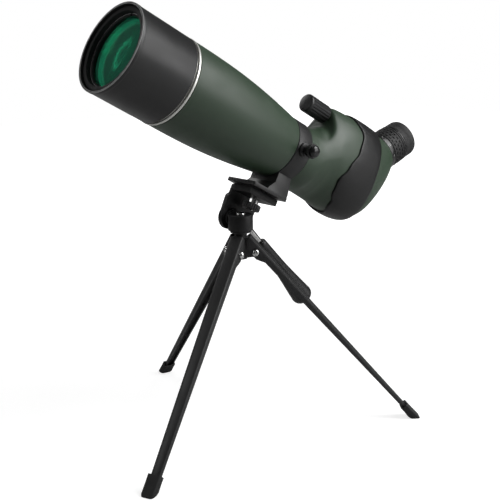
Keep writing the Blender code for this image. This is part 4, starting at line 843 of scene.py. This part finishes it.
for row in range(zoomRing["dotRows"]):
    station = bandStart + bandLength * (row + 0.5) / zoomRing["dotRows"]
    for step in range(zoomRing["dotsRound"]):
        angle = 2.0 * pi * (step + 0.5 * (row % 2)) / zoomRing["dotsRound"]
        dot = addBlock(zoomShape, (station, dotRadius * sin(angle), dotRadius * cos(angle)),
                       zoomRing["dot"], Matrix.Rotation(-angle, 4, "X"))
        edges = {edge for vertex in dot for edge in vertex.link_edges}
        bmesh.ops.bevel(zoomShape, geom=list(edges), offset=zoomRing["dotBevel"], segments=2,
                        affect="EDGES")
placePiece("zoomRing", finishMesh("zoomRing", zoomShape, sharpAngle=40.0), eyePlace,
           "zoom_ring", "softRubber", ["zoom_ring"])

eyeTrim = {"radius": 0.0217, "width": 0.0014, "round": 0.0003}
trimStart = zoomLength + gap
eyeTrimOutline = bandOutline(trimStart, trimStart + eyeTrim["width"], eyeBore, eyeTrim["radius"])
turnedPiece("eyepieceTrim", filleted(eyeTrimOutline, eyeTrim["round"], 2), eyePlace, "scope",
            "glossBlack", "black_paint", ["eyepiece_trim_ring"])

# eyecup; shoulder is stations from its start and drops, lip is stations before its end and drops
sleeveEnd = 0.0292
eyecup = {"start": 0.0198, "end": 0.0359, "radius": 0.0212, "bore": 0.0174, "opening": 0.0128,
          "openingEdge": 0.0134, "skin": 0.0003, "ribFrom": 0.0012, "ribTo": 0.0075,
          "ribDepth": 0.00035, "ribs": 64,
          "shoulder": ((0.0, 0.0005), (0.0006, 0.0), (0.0011, 0.0), (0.0014, 0.0), (0.0073, 0.0),
                       (0.0076, 0.0)),
          "lip": ((0.0028, 0.0001), (0.0012, 0.0006), (0.0003, 0.0016), (0.0, 0.0028),
                  (0.0006, 0.0042), (0.0022, 0.0056)),
          "overSleeve": (0.0024, 0.0018, 0.0006)}


def cupRibs(turn, station, radius):
    inBand = eyecup["ribFrom"] < station - eyecup["start"] < eyecup["ribTo"]
    if not inBand or radius < eyecup["radius"] - eyecup["skin"]:
        return 0.0
    return -eyecup["ribDepth"] * (0.5 - 0.5 * cos(turn * eyecup["ribs"]))


cupOutline = [(eyecup["start"], eyecup["bore"])]
cupOutline += [(eyecup["start"] + station, eyecup["radius"] - drop)
               for station, drop in eyecup["shoulder"]]
cupOutline += [(eyecup["end"] - back, eyecup["radius"] - drop) for back, drop in eyecup["lip"]]
outerStep, innerStep, floorStep = [sleeveEnd + step for step in eyecup["overSleeve"]]
cupOutline += [(outerStep, eyecup["openingEdge"]), (innerStep, eyecup["opening"]),
               (floorStep, eyecup["opening"]), (floorStep, eyecup["bore"])]
turnedPiece("eyecup", cupOutline, eyePlace, "eyecup", "softRubber", "rubber", ["eyecup"],
            segments=256, shaped=cupRibs, sharpAngle=40.0)

# depths below the sleeve's end: front vertex, front edge, rear edge and rear vertex
eyeLens = {"radius": 0.0144, "depths": (0.0080, 0.0066, 0.0036, 0.0020)}
eyeLensOutline = lensOutline(eyeLens["radius"], *[sleeveEnd - depth for depth in eyeLens["depths"]])
turnedPiece("eyeLens", eyeLensOutline, eyePlace, "scope", "innerCoated", "clear_glass",
            ["eye_lens"], segments=96)

# magnifications printed round the fixed ring, wrapped on its surface
dial = {"values": ("20", "30", "40", "50", "60"), "size": 0.0022, "first": 196.0, "step": 34.0,
        "station": -0.0037, "lift": 0.00006, "curveSteps": 3}
dialRadius = numberRadius + dial["lift"]


def dialMark(value, middle):
    curve = bpy.data.curves.new("dialText" + value, "FONT")
    curve.body = value
    curve.size = dial["size"]
    curve.align_x = "CENTER"
    curve.align_y = "CENTER"
    curve.resolution_u = dial["curveSteps"]
    writer = addObject("dialWriter", curve)
    bpy.context.view_layer.update()
    written = writer.evaluated_get(bpy.context.evaluated_depsgraph_get())
    shape = bmesh.new()
    shape.from_mesh(bpy.data.meshes.new_from_object(written))
    bpy.data.objects.remove(writer)
    for vertex in shape.verts:
        turn = middle + vertex.co.x / dialRadius
        station = dial["station"] + vertex.co.y
        vertex.co = (station, dialRadius * sin(turn), dialRadius * cos(turn))
    return finishMesh("dialMark" + value, shape)


for index, value in enumerate(dial["values"]):
    mark = dialMark(value, radians(dial["first"] + dial["step"] * index))
    placePiece("dialNumber" + value, mark, eyePlace, "scope", "whiteInk")
print("eyepiece done")

# CAD nodes that are kept with softened edges: body, finish, slot and width of the bevel
softNodes = {
    "tripod_collar": ("tilt_head", "collarLacquer", "black_paint", 0.0005),
    "hub": ("stand", "tripodLacquer", "tripod_paint", 0.0004),
    "leg_front": ("leg_front", "tripodLacquer", "tripod_paint", 0.0003),
    "leg_left": ("leg_left", "tripodLacquer", "tripod_paint", 0.0003),
    "leg_right": ("leg_right", "tripodLacquer", "tripod_paint", 0.0003),
    # pan block and tilt bracket take the darker copy of the tripod's lacquer: painted shade
    "pan_block": ("pan_head", "paintedShadeHeadLacquer", "tripod_paint", 0.0006),
    "tilt_bracket": ("tilt_head", "paintedShadeHeadLacquer", "tripod_paint", 0.0006),
    "platform_pad": ("tilt_head", "softRubber", "rubber", 0.0002),
    "foot_front": ("leg_front", "softRubber", "rubber", 0.0005),
    "foot_left": ("leg_left", "softRubber", "rubber", 0.0005),
    "foot_right": ("leg_right", "softRubber", "rubber", 0.0005),
}
for node, (body, look, slotName, width) in softNodes.items():
    placePiece(node + "Dressed", softenedNode(node, width), Matrix.Identity(4), body, look,
               [node])

# the collar's lock: a knob with a round cap; flare holds stations on the knob and radii
lock = {"bossReach": 0.0372, "bore": 0.0028, "boreEnd": 0.0012, "length": 0.0105,
        "flare": ((0.0, 0.0046), (0.0028, 0.0050), (0.0042, 0.0062), (0.0060, 0.0074)),
        "radius": 0.0080, "rim": ((0.0022, 0.0), (0.0010, 0.0001), (0.0, 0.0012)),
        "ribs": 20, "ribDepth": 0.0004, "ribFrom": 0.0040, "ribEnd": 0.0008, "ribLeast": 0.0055}
lockCap = {"radius": 0.0062, "length": 0.0048, "footDrop": 0.0010, "middle": 0.0016,
           "roundness": 0.7}
lockStart = lock["bossReach"] + gap
lockEnd = lockStart + lock["length"]


def lockRibs(turn, station, radius):
    inBand = lockStart + lock["ribFrom"] < station < lockEnd - lock["ribEnd"]
    if inBand and radius > lock["ribLeast"]:
        return -lock["ribDepth"] * (0.5 - 0.5 * cos(turn * lock["ribs"]))
    return 0.0


lockFloor = lockEnd - lock["boreEnd"]
lockOutline = [(lockFloor, 0.0), (lockFloor, lock["bore"]), (lockStart, lock["bore"])]
lockOutline += [(lockStart + station, radius) for station, radius in lock["flare"]]
lockOutline += [(lockEnd - back, lock["radius"] - drop) for back, drop in lock["rim"]]
lockOutline += [(lockEnd, 0.0)]
turnedPiece("lockKnob", lockOutline, lockPlace, "collar_lock", "mouldedBlack", "black_plastic",
            ["collar_lock_knob"], segments=120, shaped=lockRibs, sharpAngle=40.0)
capStart = lockEnd + gap
capMiddle = capStart + lockCap["middle"]
capHeight = lockCap["length"] - lockCap["middle"]
capOutline = [(capStart, 0.0), (capStart, lockCap["radius"] - lockCap["footDrop"])]
for angle in range(-30, 90, 10):
    capOutline.append((capMiddle + capHeight * sin(radians(angle)),
                       lockCap["radius"] * cos(radians(angle)) ** lockCap["roundness"]))
capOutline.append((capStart + lockCap["length"], 0.0))
turnedPiece("lockCap", capOutline, lockPlace, "collar_lock", "capBlack", "grey_plastic",
            ["collar_lock_cap"], segments=96, sharpAngle=40.0)
print("collar done")


recess = {"reach": 1.25, "width": 0.26}     # of the cross, as shares of the head's radius


# a turned screw with a cross recess in its head
def crossHead(name, outline, tip, radius, depth):
    wide, narrow = radius * recess["reach"], radius * recess["width"]
    cutters = [blockMesh("crossA", (tip, 0.0, 0.0), (2.0 * depth, wide, narrow)),
               blockMesh("crossB", (tip, 0.0, 0.0), (2.0 * depth, narrow, wide))]
    screw = turnedMesh(name, outline, segments=64, sharpAngle=40.0)
    return cutMesh(name, screw, cutters, sharpAngle=40.0)


# outline of a domed head that starts at a station and bulges along or against X
def dome(start, radius, height, direction, steps=7):
    run = []
    for step in range(steps):
        angle = radians(90.0 * step / steps)
        run.append((start + direction * height * sin(angle), radius * cos(angle)))
    return run + [(start + direction * height, 0.0)]


legScrew = {"middle": 0.0078, "radius": 0.0020, "head": 0.0038, "rim": 0.0010, "height": 0.0026,
            "recess": 0.0016}
legMiddle, legHead = legScrew["middle"], legScrew["head"]
domeStart = legMiddle + legScrew["rim"]
legOutline = dome(-domeStart, legHead, legScrew["height"], -1.0)[::-1]
legOutline += [(-legMiddle, legHead), (-legMiddle, legScrew["radius"]),
               (legMiddle, legScrew["radius"]), (legMiddle, legHead)]
legOutline += dome(domeStart, legHead, legScrew["height"], 1.0)
for side in ("front", "left", "right"):
    mesh = crossHead("pin" + side.title(), legOutline, -domeStart - legScrew["height"], legHead,
                     legScrew["recess"])
    placePiece("legScrew" + side.title(), mesh, jointFrame("leg_" + side + "_fold", (0.0, 0.0, 1.0)),
               "stand", "polishedSteel", ["leg_pin_" + side])

# screws of the head, with stations along their own axis
panScrew = {"end": 0.1995, "radius": 0.0030, "point": (0.0010, 0.0004), "headStart": 0.2298,
            "head": 0.0050, "rim": 0.0006, "height": 0.0028, "recess": 0.0013}
tiltBolt = {"end": 0.0044, "radius": 0.0030, "point": (0.0006, 0.0004), "headStart": 0.0213,
            "head": 0.0055, "rim": 0.0012, "height": 0.0033, "recess": 0.0013}


def headScrew(name, screw, place, body, node):
    shank, start, head = screw["radius"], screw["headStart"], screw["head"]
    pointLength, pointDrop = screw["point"]
    outline = [(screw["end"], 0.0), (screw["end"], shank - pointDrop),
               (screw["end"] + pointLength, shank), (start, shank), (start, head)]
    outline += dome(start + screw["rim"], head, screw["height"] - screw["rim"], 1.0)
    mesh = crossHead(name, outline, start + screw["height"], head, screw["recess"])
    placePiece(name, mesh, place, body, "polishedSteel", [node])


headScrew("panScrew", panScrew, axisFrame(panFoot, (0.0, 0.0, 1.0)), "stand", "pan_screw")
headScrew("tiltBolt", tiltBolt, axisFrame(tiltOrigin, (0.0, 1.0, 0.0), (0.0, 0.0, 1.0)),
          "tilt_head", "tilt_bolt")

# thumbwheel under the platform
wheel = {"radius": 0.0100, "length": 0.0066, "bore": 0.0034, "chamfer": (0.0006, 0.0008),
         "dish": (0.0070, 0.0062), "dishDepth": 0.0008, "skin": 0.0004, "ribs": 24,
         "ribDepth": 0.0008, "ribShape": 1.4}


def wheelRibs(turn, station, radius):
    if radius < wheel["radius"] - wheel["skin"]:
        return 0.0
    return -wheel["ribDepth"] * (0.5 - 0.5 * cos(turn * wheel["ribs"])) ** wheel["ribShape"]


wheelRadius, wheelLength = wheel["radius"], wheel["length"]
wheelEdge, wheelDrop = wheel["chamfer"]
wheelFloor = wheelLength - wheel["dishDepth"]
wheelOutline = [(0.0, wheel["bore"]), (0.0, wheelRadius - wheelDrop), (wheelEdge, wheelRadius),
                (wheelLength - wheelEdge, wheelRadius), (wheelLength, wheelRadius - wheelDrop),
                (wheelLength, wheel["dish"][0]), (wheelFloor, wheel["dish"][1]),
                (wheelFloor, wheel["bore"])]
turnedPiece("thumbwheel", wheelOutline, wheelPlace, "thumbwheel", "mouldedBlack", "black_plastic",
            ["camera_screw_wheel"], segments=192, shaped=wheelRibs, sharpAngle=40.0)

# handle: a steel rod and a moulded grip; tail holds stations before the grip's end and drops
handle = {"rodRadius": 0.0028, "rodStart": -0.0052, "rodEnd": 0.0470, "rodRound": 0.0005,
          "gripStart": 0.0420, "gripLength": 0.1000, "gripBore": 0.0031, "smallRadius": 0.0060,
          "waist": (0.45, 0.0078), "largeRadius": 0.0118, "frontChamfer": (0.0010, 0.0008),
          "tail": ((0.0160, 0.0006), (0.0070, 0.0), (0.0022, 0.0025), (0.0003, 0.0060)),
          "endDrop": 0.0065, "flutes": 12, "fluteDepth": 0.0004, "fluteShape": 3,
          "fluteFrom": 0.008, "fadeIn": 0.01, "fluteEnd": 0.010, "fadeOut": 0.008,
          "skin": 0.0002}
rodOutline = [(handle["rodStart"], 0.0), (handle["rodStart"], handle["rodRadius"]),
              (handle["rodEnd"], handle["rodRadius"]), (handle["rodEnd"], 0.0)]
turnedPiece("handleRod", filleted(rodOutline, handle["rodRound"], 2), handlePlace, "handle",
            "polishedSteel", "bright_steel", ["handle_rod"], segments=48)
gripStart = handle["gripStart"]
gripEnd = gripStart + handle["gripLength"]
rodGap = handle["rodEnd"] + gap
gripPoints = [(gripStart + handle["frontChamfer"][0], handle["smallRadius"]),
              (gripStart + handle["waist"][0] * handle["gripLength"], handle["waist"][1])]
gripPoints += [(gripEnd - back, handle["largeRadius"] - drop) for back, drop in handle["tail"]]
gripOutline = [(rodGap, 0.0), (rodGap, handle["gripBore"]), (gripStart, handle["gripBore"]),
               (gripStart, handle["smallRadius"] - handle["frontChamfer"][1])]
gripOutline += curveThrough(gripPoints)
gripOutline += [(gripEnd, handle["largeRadius"] - handle["endDrop"]), (gripEnd, 0.0)]


def gripFlutes(turn, station, radius):
    fluteStart = gripStart + handle["fluteFrom"]
    if station < fluteStart or radius < handle["smallRadius"] - handle["skin"]:
        return 0.0
    fade = min(1.0, (station - fluteStart) / handle["fadeIn"])
    fade *= min(1.0, max(0.0, (gripEnd - handle["fluteEnd"] - station) / handle["fadeOut"]))
    wave = (0.5 - 0.5 * cos(turn * handle["flutes"])) ** handle["fluteShape"]
    return -handle["fluteDepth"] * fade * wave


turnedPiece("handleGrip", gripOutline, handlePlace, "handle", "gripBlack", "black_plastic",
            ["handle_grip"], segments=144, shaped=gripFlutes, sharpAngle=50.0)
print("head done")

# CAD nodes that stay as they are and only take a finish
plainNodes = {
    "softRubber": ("pan_washer", "tilt_washer"),
    "polishedSteel": ("camera_screw", "collar_lock_screw", "focus_screw"),
    "plainBrass": ("focus_bush",),
    "darkInside": ("tube_baffle", "focus_carriage", "zoom_lens_cell", "eyepiece_sleeve"),
    "darkAnodised": ("prism_cage",),
    "clearGlass": ("focus_lens", "turning_prism", "roof_prism", "field_lens", "zoom_lens"),
}
for look, nodes in plainNodes.items():
    for node in nodes:
        mesh = frame["nodes"][node].data
        mesh.materials.clear()
        mesh.materials.append(materials[look])

# floor and sky are white to the camera's own rays only; glow holds two distances from the middle
# and the floor's glow at each, and sky two heights of direction and the sky's light at each
stage = {"floorSize": 6.0, "floorDrop": 0.0004, "floorColour": (0.50, 0.50, 0.50),
         "floorRoughness": 0.9, "floorSpecular": 0.1, "glow": (0.35, 1.4, 0.75, 1.3),
         "ambient": 0.09, "sky": (-0.3, 0.8, 0.04, 1.0)}


def makeFloor():
    shape = bmesh.new()
    bmesh.ops.create_grid(shape, x_segments=1, y_segments=1, size=stage["floorSize"] / 2.0)
    mesh = bpy.data.meshes.new("studioFloor")
    shape.to_mesh(mesh)
    shape.free()
    floorPiece = addObject("studioFloor", mesh)
    floorPiece.location.z = -stage["floorDrop"]
    material = bpy.data.materials.new("studioFloor")
    material.use_nodes = True
    tree = material.node_tree
    shader = tree.nodes["Principled BSDF"]
    setInputs(shader, {"Base Color": (*stage["floorColour"], 1.0),
                       "Roughness": stage["floorRoughness"],
                       "Specular IOR Level": stage["floorSpecular"],
                       "Emission Color": (1.0, 1.0, 1.0, 1.0)})
    where = addNode(tree, "ShaderNodeTexCoord", -1100, -400)
    reach = addNode(tree, "ShaderNodeVectorMath", -900, -400, operation="LENGTH")
    glow = rangeNode(tree, -700, -400, reach.outputs["Value"], stage["glow"])
    rays = addNode(tree, "ShaderNodeLightPath", -500, -200)
    lift = mathNode(tree, "MULTIPLY", -260, -200, rays.outputs["Is Camera Ray"], glow)
    linkAll(tree, (where.outputs["Object"], reach.inputs[0]),
            (lift, shader.inputs["Emission Strength"]))
    mesh.materials.append(material)


def makeWorld():
    world = bpy.data.worlds.new("studioWorld")
    bpy.context.scene.world = world
    world.use_nodes = True
    tree = world.node_tree
    tree.nodes.clear()
    out = addNode(tree, "ShaderNodeOutputWorld", 500, 0)
    seen = addNode(tree, "ShaderNodeBackground", 0, 120)
    setInputs(seen, {"Color": (1.0, 1.0, 1.0, 1.0)})
    light = addNode(tree, "ShaderNodeBackground", 0, -120)
    setInputs(light, {"Strength": stage["ambient"]})
    where = addNode(tree, "ShaderNodeTexCoord", -900, -120)
    split = addNode(tree, "ShaderNodeSeparateXYZ", -700, -120)
    fade = rangeNode(tree, -500, -120, split.outputs[2], stage["sky"])
    rays = addNode(tree, "ShaderNodeLightPath", -200, 320)
    pick = addNode(tree, "ShaderNodeMixShader", 260, 0)
    linkAll(tree, (where.outputs["Generated"], split.inputs[0]), (fade, light.inputs["Color"]),
            (rays.outputs["Is Camera Ray"], pick.inputs[0]), (light.outputs[0], pick.inputs[1]),
            (seen.outputs[0], pick.inputs[2]), (pick.outputs[0], out.inputs[0]))


# the photograph's camera; fromPan is its place from the pan axis at the floor
view = {"lens": 69.28, "sensor": 36.0, "near": 0.05, "far": 20.0, "yaw": -39.337,
        "pitch": -13.495, "roll": -0.888, "fromPan": (-0.6102, -0.7593, 0.4254)}
yaw, pitch, roll = radians(view["yaw"]), radians(view["pitch"]), radians(view["roll"])
forward = Vector((-sin(yaw) * cos(pitch), cos(yaw) * cos(pitch), sin(pitch)))
rightward = Vector((cos(yaw), sin(yaw), 0.0))


def makeCamera():
    camera = bpy.data.cameras.new("photoCamera")
    camera.sensor_width = view["sensor"]
    camera.lens = view["lens"]
    camera.clip_start = view["near"]
    camera.clip_end = view["far"]
    holder = addObject("photoCamera", camera)
    upward = rightward.cross(forward)
    across = rightward * cos(roll) + upward * sin(roll)
    above = upward * cos(roll) - rightward * sin(roll)
    turn = Matrix((across, above, -forward)).transposed().to_4x4()
    holder.matrix_world = Matrix.Translation(panFoot + Vector(view["fromPan"])) @ turn
    bpy.context.scene.camera = holder


# offsets are to the camera's right, up, and towards the camera, from the scope's middle
scopeMiddle = Vector((0.0, 0.0, 0.26))
lamps = {
    "rightSoftbox": {"offset": (1.20, 0.42, 0.30), "size": (0.7, 1.0), "power": 8.5},
    "upperSoftbox": {"offset": (0.90, 0.90, 0.10), "size": (0.8, 0.8), "power": 11.0},
    "leftStrip": {"offset": (-0.90, 0.62, -1.05), "size": (0.36, 0.9), "power": 2.4},
    "leftFill": {"offset": (-1.10, 0.62, 0.50), "size": (0.7, 0.7), "power": 2.6},
    "backFill": {"offset": (-0.40, 0.90, -1.20), "size": (0.9, 0.7), "power": 3.0},
}


def makeLamps():
    level = Vector((forward.x, forward.y, 0.0)).normalized()
    for name, lamp in lamps.items():
        data = bpy.data.lights.new(name, "AREA")
        data.shape = "RECTANGLE"
        data.size, data.size_y = lamp["size"]
        data.energy = lamp["power"]
        holder = addObject(name, data)
        right, up, near = lamp["offset"]
        holder.location = scopeMiddle + rightward * right + Vector((0.0, 0.0, up)) - level * near
        holder.rotation_mode = "QUATERNION"
        holder.rotation_quaternion = (scopeMiddle - holder.location).to_track_quat("-Z", "Y")


makeFloor()
makeWorld()
makeCamera()
makeLamps()
bpy.context.scene.view_settings.view_transform = "Standard"
print("studio done")
